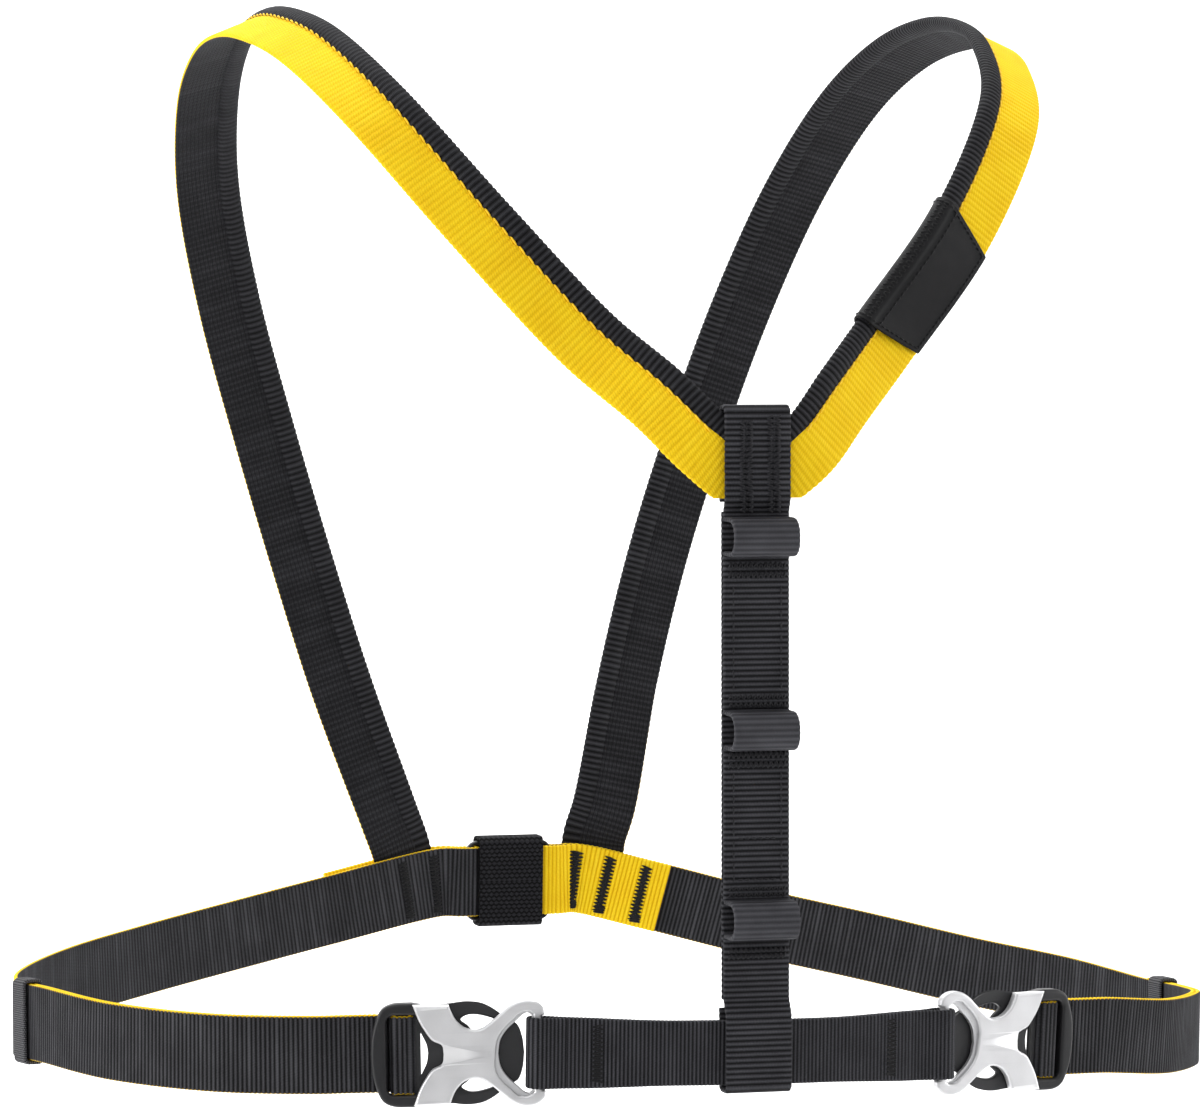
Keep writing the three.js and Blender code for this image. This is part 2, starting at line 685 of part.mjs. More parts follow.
// A shoulder strap from the chest over the shoulder to the back. across, or right where the
// right strap differs, is a share of SHOULDER_HALF_SPAN, deep of CHEST_REACH in front and
// BACK_REACH behind, high of BELT_DROP.
// lean is how many degrees the strap's outer edge hangs below its neck side, and thick is the
// tube's thickness as a share of TUBE_THICKNESS.
const shoulderRows = [
  { across: -0.07, deep: -0.987, high: -0.46, lean: 52, thick: 0.39 },
  { across: 0.05, deep: -0.987, high: -0.431, lean: 52, thick: 0.39 },
  { across: 0.14, deep: -0.984, high: -0.403, lean: 52, thick: 0.5 },
  { across: 0.25, deep: -0.935, high: -0.358, lean: 50, thick: 0.9 },
  { across: 0.4, deep: -0.847, high: -0.303, lean: 44, thick: 1 },
  { across: 0.645, deep: -0.758, high: -0.196, lean: 37, thick: 1 },
  { across: 0.87, deep: -0.563, high: -0.077, lean: 27, thick: 1 },
  { across: 0.96, deep: -0.313, high: -0.017, lean: 25, thick: 1 },
  { across: 0.995, deep: -0.107, high: 0.003, lean: 23, thick: 1 },
  { across: 1.0, deep: 0.11, high: 0.005, lean: 23, thick: 1 },
  { across: 0.98, deep: 0.373, high: -0.016, lean: 19, thick: 1 },
  { across: 0.94, deep: 0.646, high: -0.072, lean: 14, thick: 1 },
  { across: 0.87, deep: 0.875, high: -0.172, lean: 14, thick: 1 },
  { across: 0.767, deep: 1.0, high: -0.301, lean: 17, thick: 1 },
  { across: 0.646, deep: 1.045, high: -0.446, lean: 18, thick: 1 },
  { across: 0.533, deep: 1.045, high: -0.586, lean: 16, thick: 1 },
  { across: 0.42, right: 0.446, deep: 1.035, high: -0.72, lean: 17, thick: 1 },
];
// The strap's end lies flat on the belt. high is a share of BELT_WIDTH above the belt's middle,
// left and right are millimetres further towards the middle of the back.
const joinRows = [
  { high: 1.1, left: -3.2, right: -0.5, thick: 0.8 },
  { high: 0.62, left: -0.8, right: 0.4, thick: 0.4 },
  { high: 0.3, left: 0, right: 0, thick: 0.39 },
  { high: -0.3, left: 3, right: 0.4, thick: 0.39 },
];

function joinStations(hand) {
  const line = beltLines[hand];
  const wanted = BACK_JOIN[hand] * SHOULDER_HALF_SPAN;
  const s = line.back - (wanted - signOf(hand) * ADJUSTER_SHIFT);
  const out = hand === 'left' ? leftShoulderOut : rightShoulderOut;
  const { outward: facing } = line.frameAt(s);
  return joinRows.map((row) => ({
    point: line.place(s + row[hand], out, row.high * BELT_WIDTH),
    lean: JOIN_TILT,
    thick: row.thick,
    facing,
  }));
}

// Stations every few millimetres along a shoulder strap, each with its own frame
function shoulderStations(hand) {
  const sign = signOf(hand);
  const rows = shoulderRows.map((row) => ({
    ...row,
    point: new THREE.Vector3(
      sign * (row[hand] ?? row.across) * SHOULDER_HALF_SPAN,
      row.deep * (row.deep < 0 ? CHEST_REACH : BACK_REACH),
      row.high * BELT_DROP,
    ),
  }));
  rows.push(...joinStations(hand));
  const curve = new THREE.CatmullRomCurve3(rows.map((row) => row.point), false, 'centripetal');
  const spans = rows.length - 1;
  const stations = [];
  const perSpan = 4;
  for (let i = 0; i <= spans * perSpan; i++) {
    const t = i / perSpan;
    const k = Math.min(Math.floor(t), spans - 1);
    const share = t - k;
    const point = curve.getPoint(i / (spans * perSpan));
    const tangent = curve.getTangent(i / (spans * perSpan)).normalize();
    const lean = THREE.MathUtils.degToRad(THREE.MathUtils.lerp(rows[k].lean, rows[k + 1].lean, share));
    const side = new THREE.Vector3(sign * Math.cos(lean), 0, -Math.sin(lean));
    side.addScaledVector(tangent, -side.dot(tangent)).normalize();
    const normal = side.clone().cross(tangent).multiplyScalar(sign).normalize();
    if (rows[k + 1].facing) {
      const held = rows[k].facing ? 1 : share;
      normal.lerp(rows[k + 1].facing, held).normalize();
      side.addScaledVector(normal, -side.dot(normal)).normalize();
    }
    const thick = THREE.MathUtils.lerp(rows[k].thick, rows[k + 1].thick, share);
    stations.push({ point, side, normal, thick });
  }
  return stations;
}

const strapWidth = TUBE_WIDTH + GAP + STRAP_WEB_WIDTH;
const tubeMiddle = -strapWidth / 2 + TUBE_WIDTH / 2;
const webMiddle = strapWidth / 2 - STRAP_WEB_WIDTH / 2;

function oval(middle, width, thickness, sides = 10) {
  const outline = [];
  for (let k = 0; k < sides; k++) {
    const angle = (2 * Math.PI * (k + 0.5)) / sides;
    outline.push([middle + (width / 2) * Math.cos(angle), (thickness / 2) * Math.sin(angle)]);
  }
  return outline;
}

// Cuts off what reaches past the middle of the chest or below the centre strap's cap
function trimmedAtCap(geometry, sign) {
  const lowest = centreTopZ - CAP_HEIGHT + CAP_EASING + GAP;
  const half = solidOf(geometry).trimByPlane([sign, 0, 0], GAP / 2);
  const capZone = Manifold.cube([CENTRE_WIDTH, CUT_ROOM, CUT_ROOM], true)
    .translate([0, capMiddleY, lowest - CUT_ROOM / 2]);
  return geometryOf(half.subtract(capZone));
}

function addShoulders() {
  for (const hand of ['left', 'right']) {
    const sign = signOf(hand);
    const stations = shoulderStations(hand);
    const web = rectangle(STRAP_WEB_WIDTH, STRAP_WEB).map(([a, t]) => [a + webMiddle, t]);
    const webbing = loft(stations.map((at) => section(web, at.point, at.side, at.normal)));
    const tube = loft(stations.map((at) => section(
      oval(tubeMiddle, TUBE_WIDTH, TUBE_THICKNESS * at.thick), at.point, at.side, at.normal,
    )));
    addPiece(`${hand}_shoulder_webbing`, trimmedAtCap(webbing, sign), YELLOW);
    addPiece(`${hand}_shoulder_edge_tube`, trimmedAtCap(tube, sign), BLACK);
  }
}

// Label patch: a thin hooked wrap over the outside and round the tube
function addPatch() {
  const stations = shoulderStations('right');
  const travelled = [0];
  for (let i = 1; i < stations.length; i++) {
    travelled.push(travelled[i - 1] + stations[i].point.distanceTo(stations[i - 1].point));
  }
  const whole = travelled[travelled.length - 1];
  const first = PATCH_AT * whole - PATCH_LENGTH / 2;
  const stationAt = (s) => {
    let i = travelled.findIndex((value) => value >= s);
    i = Math.max(i, 1);
    const share = (s - travelled[i - 1]) / (travelled[i] - travelled[i - 1]);
    const mix = (key) => stations[i - 1][key].clone().lerp(stations[i][key], share);
    return { point: mix('point'), side: mix('side').normalize(), normal: mix('normal').normalize() };
  };
  const inside = patchLine(GAP + 0.05);
  const outside = patchLine(GAP + 0.05 + PATCH_WALL);
  const outline = [...outside, ...inside.reverse()];
  const sections = [];
  for (let k = 0; k <= 8; k++) {
    const at = stationAt(first + (PATCH_LENGTH * k) / 8);
    sections.push(section(outline, at.point, at.side, at.normal));
  }
  addPiece('shoulder_label_patch', loft(sections), BLACK);
}

// From the webbing's outer edge across the outside, round the tube and a little way back
function patchLine(away) {
  const w = TUBE_WIDTH / 2 + away;
  const t = TUBE_THICKNESS / 2 + away;
  const webOut = STRAP_WEB / 2 + away;
  const line = [[strapWidth / 2, webOut]];
  line.push([tubeMiddle + TUBE_WIDTH / 2 + 1.5, webOut]);
  for (const degrees of [60, 90, 120, 150, 180, 210, 240, 270]) {
    const angle = THREE.MathUtils.degToRad(degrees);
    line.push([tubeMiddle + w * Math.cos(angle), t * Math.sin(angle)]);
  }
  return line;
}

// Centre strap: heights are distances down from its top, out is away from the chest
const centreTopZ = CENTRE_LENGTH - (BELT_DROP * (BUCKLE_DROP.left + BUCKLE_DROP.right)) / 2;
const capMiddleY = -0.985 * CHEST_REACH;
const capLayer = STRAP_WEB / 2 + CAP_ROOM + WEB / 2;
const bandLayer = PAIR_STEP + WEB / 2 + WRAP_ROOM + WEB / 2;

function centrePlace(down, out) {
  const share = down / CENTRE_LENGTH;
  const across = (share - 0.5) * CENTRE_LEAN;
  const deep = THREE.MathUtils.lerp(capMiddleY, -CHEST_REACH, share);
  return new THREE.Vector3(across, deep - out, centreTopZ - down);
}

function centreRibbon(corners) {
  const path = roundedPath(corners, CENTRE_SPACING);
  const places = path.map((point) => centrePlace(point.x, point.y));
  const side = new THREE.Vector3(1, 0, 0);
  const sections = places.map((place, i) => {
    const before = places[Math.max(i - 1, 0)];
    const after = places[Math.min(i + 1, places.length - 1)];
    const direction = after.clone().sub(before).normalize();
    return section(rectangle(CENTRE_WIDTH, WEB), place, side, side.clone().cross(direction).normalize());
  });
  return loft(sections);
}

function tunnelCorners(middle) {
  const top = middle - TUNNEL_HEIGHT / 2 + WEB / 2;
  const foot = middle + TUNNEL_HEIGHT / 2 - WEB / 2;
  const outside = PAIR_STEP + TUNNEL_DEPTH;
  return [
    [top, PAIR_STEP, 1],
    [top, outside, TUNNEL_ROUND],
    [foot, outside, TUNNEL_ROUND],
    [foot, PAIR_STEP, 1],
  ];
}

function addCentre() {
  const bandHalf = BAND_WIDTH / 2 + WRAP_ROOM + WEB / 2;
  const foot = CENTRE_LENGTH + bandHalf;
  const front = [
    [CAP_HEIGHT - 4, -capLayer],
    [WEB / 2, -capLayer, capLayer - 0.1],
    [WEB / 2, capLayer, capLayer - 0.1],
    [CAP_HEIGHT - CAP_EASING, capLayer],
    [CAP_HEIGHT - 1, PAIR_STEP],
  ];
  for (const share of TUNNELS) front.push(...tunnelCorners(share * CENTRE_LENGTH));
  front.push(
    [CENTRE_LENGTH - bandHalf - CAP_EASING, PAIR_STEP],
    [CENTRE_LENGTH - bandHalf, bandLayer],
    [foot, bandLayer, FOOT_ROUND],
    [foot, -bandLayer, FOOT_ROUND],
    [CENTRE_LENGTH - bandHalf - 2, -bandLayer],
  );
  addPiece('centre_loop_strap', centreRibbon(front), BLACK);
  const backing = [[CAP_HEIGHT - 1, -PAIR_STEP], [CENTRE_LENGTH - bandHalf - CAP_EASING, -PAIR_STEP]];
  addPiece('centre_backing_strap', centreRibbon(backing), BLACK);
}

addBelt();
addBack();
addBuckles();
addFrontBand();
addShoulders();
addPatch();
addCentre();

export default group;
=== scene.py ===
# Climbing chest harness in its worn form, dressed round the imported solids.
# Lengths are millimetres until a piece is made, then metres. Left and right are a viewer's.
import math

import bpy
import numpy as np
from mathutils import Matrix, Vector


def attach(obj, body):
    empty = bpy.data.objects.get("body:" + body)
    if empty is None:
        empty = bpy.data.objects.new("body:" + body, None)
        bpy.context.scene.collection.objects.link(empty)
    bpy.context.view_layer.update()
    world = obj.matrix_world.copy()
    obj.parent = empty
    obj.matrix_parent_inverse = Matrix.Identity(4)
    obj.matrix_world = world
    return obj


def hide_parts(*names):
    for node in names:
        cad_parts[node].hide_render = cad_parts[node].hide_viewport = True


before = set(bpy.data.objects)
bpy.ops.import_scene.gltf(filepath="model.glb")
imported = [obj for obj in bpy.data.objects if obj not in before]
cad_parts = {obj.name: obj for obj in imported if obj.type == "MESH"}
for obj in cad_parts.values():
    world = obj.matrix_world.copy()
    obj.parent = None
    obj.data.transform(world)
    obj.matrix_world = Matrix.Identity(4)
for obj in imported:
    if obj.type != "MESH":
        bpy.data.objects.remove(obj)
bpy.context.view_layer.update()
bpy.ops.object.select_all(action="DESELECT")
print("frame loaded:", len(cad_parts), "solids")

harness = {
    "beltHalfWidth": 203,
    "chestReach": 150,
    "backReach": 140,
    "beltDrop": 322,
    "shoulderHalfSpan": 125,
    "beltWidth": 25,
    "web": 1.6,
    "gap": 0.3,
}
skyward = np.array((0.0, 0.0, 1.0))
routeSpacing = 0.8
handSign = {"left": -1, "right": 1}


# Curves and routes
def unit(v):
    return v / np.linalg.norm(v, axis=-1, keepdims=True)


def measured(points):
    steps = np.linalg.norm(np.diff(points, axis=0), axis=1)
    return np.concatenate([[0], np.cumsum(steps)])


def splineThrough(knots, perSpan):
    # a smooth curve through every knot, with perSpan points to each span
    knots = np.asarray(knots, float)
    ends = np.vstack([2 * knots[0] - knots[1], knots, 2 * knots[-1] - knots[-2]])
    share = np.arange(perSpan)[:, None] / perSpan
    made = []
    for a, b, c, d in zip(ends, ends[1:], ends[2:], ends[3:]):
        pace = [max(np.linalg.norm(q - p), 1e-4) ** 0.5 for p, q in ((a, b), (b, c), (c, d))]
        first, middle, last = pace
        leave = ((b - a) / first - (c - a) / (first + middle) + (c - b) / middle) * middle
        reach = ((c - b) / middle - (d - b) / (middle + last) + (d - c) / last) * middle
        bend = 3 * (c - b) - 2 * leave - reach
        made.append(b + leave * share + bend * share**2 + (2 * (b - c) + leave + reach) * share**3)
    return np.vstack([*made, knots[-1:]])


def closedSpline(knots, perSpan):
    # the same through a closed ring of knots, without repeating the first point
    knots = np.asarray(knots, float)
    ring = np.vstack([knots[-2:], knots, knots[:3]])
    return splineThrough(ring, perSpan)[2 * perSpan : (2 + len(knots)) * perSpan]


def roundedPath(corners, spacing):
    # a line through corners [a, b, radius]; a radius makes an arc
    spots = [np.array(corner[:2], float) for corner in corners]
    path = [spots[0]]
    for i in range(1, len(corners) - 1):
        here = spots[i]
        radius = corners[i][2] if len(corners[i]) > 2 else 0
        if not radius:
            path.append(here)
            continue
        before = unit(spots[i - 1] - here)
        after = unit(spots[i + 1] - here)
        half = math.acos(max(-1.0, min(1.0, float(before @ after)))) / 2
        arm = before * radius / math.tan(half) - unit(before + after) * radius / math.sin(half)
        centre = here + unit(before + after) * radius / math.sin(half)
        sweep = math.pi - 2 * half
        turn = -math.copysign(1, before[0] * after[1] - before[1] * after[0])
        steps = max(3, math.ceil(sweep / 0.16))
        for k in range(steps + 1):
            c, s = math.cos(turn * sweep * k / steps), math.sin(turn * sweep * k / steps)
            path.append(centre + np.array((c * arm[0] - s * arm[1], s * arm[0] + c * arm[1])))
    path.append(spots[-1])
    fine = [path[0]]
    for there in path[1:]:
        parts = max(1, math.ceil(np.linalg.norm(there - fine[-1]) / spacing))
        start = fine[-1]
        fine.extend(start + (there - start) * k / parts for k in range(1, parts + 1))
    return np.array(fine)


def routeAt(route, distances):
    # a route's points and directions at distances along it
    made = {"at": np.asarray(distances, float)}
    for key in ("point", "side", "normal"):
        columns = [np.interp(distances, route["at"], route[key][:, k]) for k in range(3)]
        made[key] = np.stack(columns, -1)
    made["side"] = unit(made["side"])
    made["normal"] = unit(made["normal"])
    return made


# The belt's line is shared by the straps, the keepers and the buckles
buckle = {
    "turn": math.radians(15),
    "dip": {"left": math.radians(1.6), "right": math.radians(2.4)},
    "drop": {"left": 1.0, "right": 1.006},
    "ringReach": 22,
    "frameReach": 32.8,
    "hookThickness": 3,
    "frameThickness": 4.3,
    "loopPlate": 1.9,
    "slot": 2.2,
    "strapBar": 3.8,
    "ringBar": 2.4,
    "ringLip": 1.5,
    "foldRoom": 0.65,
    "outerBar": 4.9,
    "barSlack": 0.35,
    "barSink": 0.6,
    "humpRise": 0.8,
    "straight": 10,
}
back = {
    "drop": 0.942,
    "shift": 9.5,
    "adjusterLength": 32,
    "adjusterHeight": 29.2,
    "adjusterThickness": 2.6,
    "sleeveLength": 24,
    "sleeveWall": 1.3,
    "seamRoom": 0.9,
    "bar": 4.3,
    "end": 2,
    "settle": 10,
    "swap": 40,
    "bend": 4,
    "leftFold": 68,
    "rightFold": 58,
}
# across is a share of the belt's half width, deep of the reach in front or behind, and left
# and right are shares of its drop below the shoulders
beltRows = [
    {"across": 0.8, "deep": -0.68, "left": 1.008, "right": 1.026},
    {"across": 0.925, "deep": -0.46, "left": 1.009, "right": 1.035},
    {"across": 0.99, "deep": -0.2, "left": 1.008, "right": 1.047},
    {"across": 1.0, "deep": 0.06, "left": 1.015, "right": 1.054},
    {"across": 0.936, "deep": 0.336, "left": 1.018, "right": 1.046},
    {"across": 0.817, "deep": 0.571, "left": 1.013, "right": 1.035},
    {"across": 0.66, "deep": 0.75, "left": 1.003, "right": 1.014},
    {"across": 0.482, "deep": 0.871, "left": 0.987, "right": 0.99},
    {"across": 0.297, "deep": 0.948, "left": 0.967, "right": 0.96},
]
layer = (harness["web"] + harness["gap"]) / 2
frameBack = layer + harness["web"] / 2 + harness["gap"]
hookMiddle = frameBack + buckle["loopPlate"] + harness["gap"] + buckle["hookThickness"] / 2
bandHalf = 68.5
bandRadius = bandHalf / math.sin(buckle["turn"])
barToWaist = buckle["ringReach"] - buckle["ringBar"] / 2 - buckle["ringLip"]


def reachOf(deep):
    return deep * (harness["chestReach"] if deep < 0 else harness["backReach"])


def buckleFrame(hand):
    sign, turn, dip = handSign[hand], buckle["turn"], buckle["dip"][hand]
    flat = np.array((sign * math.cos(turn), math.sin(turn), 0))
    along = flat * math.cos(dip) - skyward * math.sin(dip)
    out = np.array((sign * math.sin(turn), -math.cos(turn), 0))
    sag = bandRadius * (1 - math.cos(turn))
    drop = harness["beltDrop"] * buckle["drop"][hand]
    bar = np.array((sign * bandHalf, sag - harness["chestReach"], -drop))
    return along, out, bar + along * barToWaist


def beltLine(hand):
    sign = handSign[hand]
    along, out, waist = buckleFrame(hand)
    start = waist - out * hookMiddle
    straight = buckle["frameReach"] + buckle["straight"]
    half = back["adjusterLength"] / 2 + back["end"]
    low = -harness["beltDrop"] * back["drop"]

    def backAt(t):
        return np.array((back["shift"] + sign * t, harness["backReach"], low))

    rows = [
        np.array((
            sign * row["across"] * harness["beltHalfWidth"],
            reachOf(row["deep"]),
            -row[hand] * harness["beltDrop"],
        ))
        for row in beltRows
    ]
    knots = [start + along * s for s in (straight - 10, straight, straight + 8)]
    knots += rows + [backAt(half + 8), backAt(half), backAt(half - 10)]
    curve = splineThrough(knots, 30)[30 : -30]
    points = np.vstack([start - along * 30, start, curve, backAt(-half), backAt(-half - 30)])
    travelled = measured(points) - 30

    def middle(s):
        return np.stack([np.interp(s, travelled, points[:, k]) for k in range(3)], -1)

    def frameAt(s):
        s = np.asarray(s, float)
        tangent = unit(middle(s + 1.5) - middle(s - 1.5))
        outward = unit(np.cross(tangent, skyward) * sign)
        high = unit(np.cross(outward, tangent) * sign)
        high = high * np.sign(high[..., 2:])
        return tangent, outward, high

    def place(s, away=0.0, up=0.0):
        _, outward, high = frameAt(s)
        return middle(s) + outward * np.reshape(away, (-1, 1)) + high * np.reshape(up, (-1, 1))

    whole = travelled[-2]
    return {"place": place, "frameAt": frameAt, "back": whole - half}


beltLines = {hand: beltLine(hand) for hand in handSign}
outerSlot = buckle["frameReach"] - buckle["outerBar"] - buckle["slot"] / 2
innerSlot = outerSlot - buckle["slot"] - buckle["strapBar"] - 2 * buckle["barSlack"]
barTop = hookMiddle - buckle["barSink"] - harness["web"]
humpLevel = barTop + harness["gap"] + harness["web"] / 2 + buckle["humpRise"]
keeperAt = {"left": 182, "right": 191}
tailPastKeeper = 14
tailEnd = {hand: at + tailPastKeeper for hand, at in keeperAt.items()}
adjusterLayer = back["adjusterThickness"] / 2 + harness["gap"] + harness["web"] / 2
print("belt lines laid out")


# Making a piece
def pick(*pieces):
    # these and nothing else selected, the first one active
    bpy.ops.object.select_all(action="DESELECT")
    for piece in pieces:
        piece.select_set(True)
    bpy.context.view_layer.objects.active = pieces[0]


def meshPiece(name, spots, faces):
    # a piece from points in millimetres, with its faces turned outward
    mesh = bpy.data.meshes.new(name)
    mesh.from_pydata((np.asarray(spots).reshape(-1, 3) * 0.001).tolist(), [], faces)
    piece = bpy.data.objects.new(name, mesh)
    bpy.context.collection.objects.link(piece)
    pick(piece)
    faceOutward()
    return piece


def faceOutward(merge=0.0, holes=False):
    # the active piece's doubles merged, its holes filled and its faces turned outward
    bpy.ops.object.mode_set(mode="EDIT")
    bpy.ops.mesh.select_all(action="SELECT")
    if merge:
        bpy.ops.mesh.remove_doubles(threshold=merge)
    if holes:
        bpy.ops.mesh.fill_holes(sides=0)
    bpy.ops.mesh.select_all(action="SELECT")
    bpy.ops.mesh.normals_make_consistent(inside=False)
    bpy.ops.object.mode_set(mode="OBJECT")


def vertexSpots(mesh, kind="co"):
    spots = np.empty(len(mesh.vertices) * 3, np.float32)
    mesh.vertices.foreach_get(kind, spots)
    return spots.reshape(-1, 3)


def markPoints(mesh, label, values):
    # a number for each vertex, which a material reads by its label
    mark = mesh.attributes.new(label, "FLOAT", "POINT")
    mark.data.foreach_set("value", values.astype(np.float32))


def finishPiece(piece, cadNode, material, angle=50):
    # smooth shading and the piece's place in the frame's table
    pick(piece)
    bpy.ops.object.transform_apply(location=True, rotation=True, scale=True)
    bpy.ops.object.shade_smooth_by_angle(angle=math.radians(angle))
    piece.data.materials.clear()
    piece.data.materials.append(material)
    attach(piece, "root")
    if cadNode:
        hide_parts(cadNode)
    piece.select_set(False)
    return piece


def rolledGrid(name, sections, along, around, face, capped=True):
    # one grid, rolled up so that its rows follow the sections and its seam is welded
    count, rim = sections.shape[:2]
    bpy.ops.mesh.primitive_grid_add(x_subdivisions=count - 1, y_subdivisions=rim, size=2)
    piece = bpy.context.object
    piece.name = piece.data.name = name
    mesh = piece.data
    spots = vertexSpots(mesh)
    column = np.rint((spots[:, 0] + 1) / 2 * (count - 1)).astype(int)
    row = np.rint((spots[:, 1] + 1) / 2 * rim).astype(int)
    placed = sections[column, row % rim] * 0.001
    mesh.vertices.foreach_set("co", placed.astype(np.float32).ravel())
    corner = np.empty(len(mesh.loops), np.int32)
    mesh.loops.foreach_get("vertex_index", corner)
    flat = np.stack([along[column[corner]], around[row[corner]]], -1)
    mesh.uv_layers.active.name = "strap"
    mesh.uv_layers.active.data.foreach_set("uv", flat.astype(np.float32).ravel())
    markPoints(mesh, "face", np.broadcast_to(face, sections.shape[:2])[column, row % rim])
    faceOutward(merge=1e-7, holes=capped)
    return piece


def webbingOutline(width, thickness, faceSteps=8, edgeSteps=3):
    # the cross-section as rows of across, out, and the outward direction there. It goes along
    # the outer face, round one edge, back along the inner face and round the other
    w, t = width / 2, thickness / 2
    roll = t * 0.9
    rows = []
    for turn in (0, math.pi):
        flip = 1 if turn == 0 else -1
        for k in range(faceSteps + 1):
            share = k / faceSteps * 2 - 1
            rows.append((flip * share * (w - roll), flip * t, 0.0, flip))
        for k in range(1, edgeSteps + 1):
            angle = math.pi / 2 - math.pi * k / (edgeSteps + 1) + turn
            c, s = math.cos(angle), math.sin(angle)
            rows.append((flip * (w - roll) + roll * c, t * s, c, s))
    return np.array(rows)


ribPhases = np.array((0.0, 0.22, 0.5, 0.78))
ribHeights = np.array((0.0, 0.78, 1.0, 0.78))


def ribStations(start, end, pitch):
    # where each rib's valley, flanks and crest lie, and how high the rib stands there
    count = max(2, round((end - start) / pitch))
    places = (np.arange(count)[:, None] + ribPhases).ravel() * (end - start) / count + start
    heights = np.tile(ribHeights, count)
    return np.append(places, end), np.append(heights, 0.0)


def ribbedStrap(name, route, outline, size, widths=None, closed=False):
    # woven webbing along a route; its cross ribs are real relief on both faces and edges
    places, heights = ribStations(route["at"][0], route["at"][-1], size["ribPitch"])
    at = routeAt(route, places)
    thick = np.interp(places, route["at"], route["thick"])[:, None] if "thick" in route else 1
    cut = (1 - heights)[:, None] * size["ribDepth"]
    across = outline[:, 0] - cut * outline[:, 2]
    out = outline[:, 1] * thick - cut * outline[:, 3]
    if widths is not None:
        across = across * np.interp(places, *widths)[:, None]
    sections = at["point"][:, None] + across[..., None] * at["side"][:, None]
    sections = sections + out[..., None] * at["normal"][:, None]
    around = measured(np.vstack([outline[:, :2], outline[:1, :2]]))
    return rolledGrid(name, sections, places, around, outline[:, 3], capped=not closed)


# Materials
def addNode(tree, kind, inputs=None, **settings):
    # a node with its settings, whose inputs are values or other nodes' outputs
    made = tree.nodes.new(kind)
    for key, value in settings.items():
        setattr(made, key, value)
    for key, value in (inputs or {}).items():
        if isinstance(value, bpy.types.NodeSocket):
            tree.links.new(value, made.inputs[key])
        else:
            made.inputs[key].default_value = value
    return made


def maths(tree, operation, a, b=None, c=None):
    inputs = {i: v for i, v in enumerate((a, b, c)) if v is not None}
    return addNode(tree, "ShaderNodeMath", inputs, operation=operation).outputs[0]


def blendColours(tree, factor, a, b, how="MIX"):
    made = addNode(tree, "ShaderNodeMix", {0: factor, 6: a, 7: b}, data_type="RGBA", blend_type=how)
    return made.outputs[2]


def noise(tree, vector, scale, detail=2.0, rough=0.5):
    inputs = {"Vector": vector, "Scale": scale, "Detail": detail, "Roughness": rough}
    return addNode(tree, "ShaderNodeTexNoise", inputs).outputs[0]


def ramp(tree, value, low, high, fromValue=0.0, toValue=1.0):
    inputs = {0: value, 1: low, 2: high, 3: fromValue, 4: toValue}
    made = addNode(tree, "ShaderNodeMapRange", inputs, interpolation_type="SMOOTHSTEP")
    return made.outputs[0]


def newMaterial(name, fixed):
    # fixed holds the numbers that are the same all over, set on the shader itself
    material = bpy.data.materials.new(name)
    material.use_nodes = True
    tree = material.node_tree
    shader = tree.nodes["Principled BSDF"]
    for key, value in fixed.items():
        shader.inputs[key].default_value = value
    return material, tree, shader


def setBump(tree, shader, height, distance, strength=1.0):
    inputs = {"Height": height, "Distance": distance, "Strength": strength}
    bump = addNode(tree, "ShaderNodeBump", inputs)
    tree.links.new(bump.outputs[0], shader.inputs["Normal"])


def colour(red, green, blue):
    # a screen colour of 0 to 255 as the shader's linear one
    linear = [((v / 255 + 0.055) / 1.055) ** 2.4 if v > 10 else v / 255 / 12.92 for v in (red, green, blue)]
    return (*linear, 1.0)


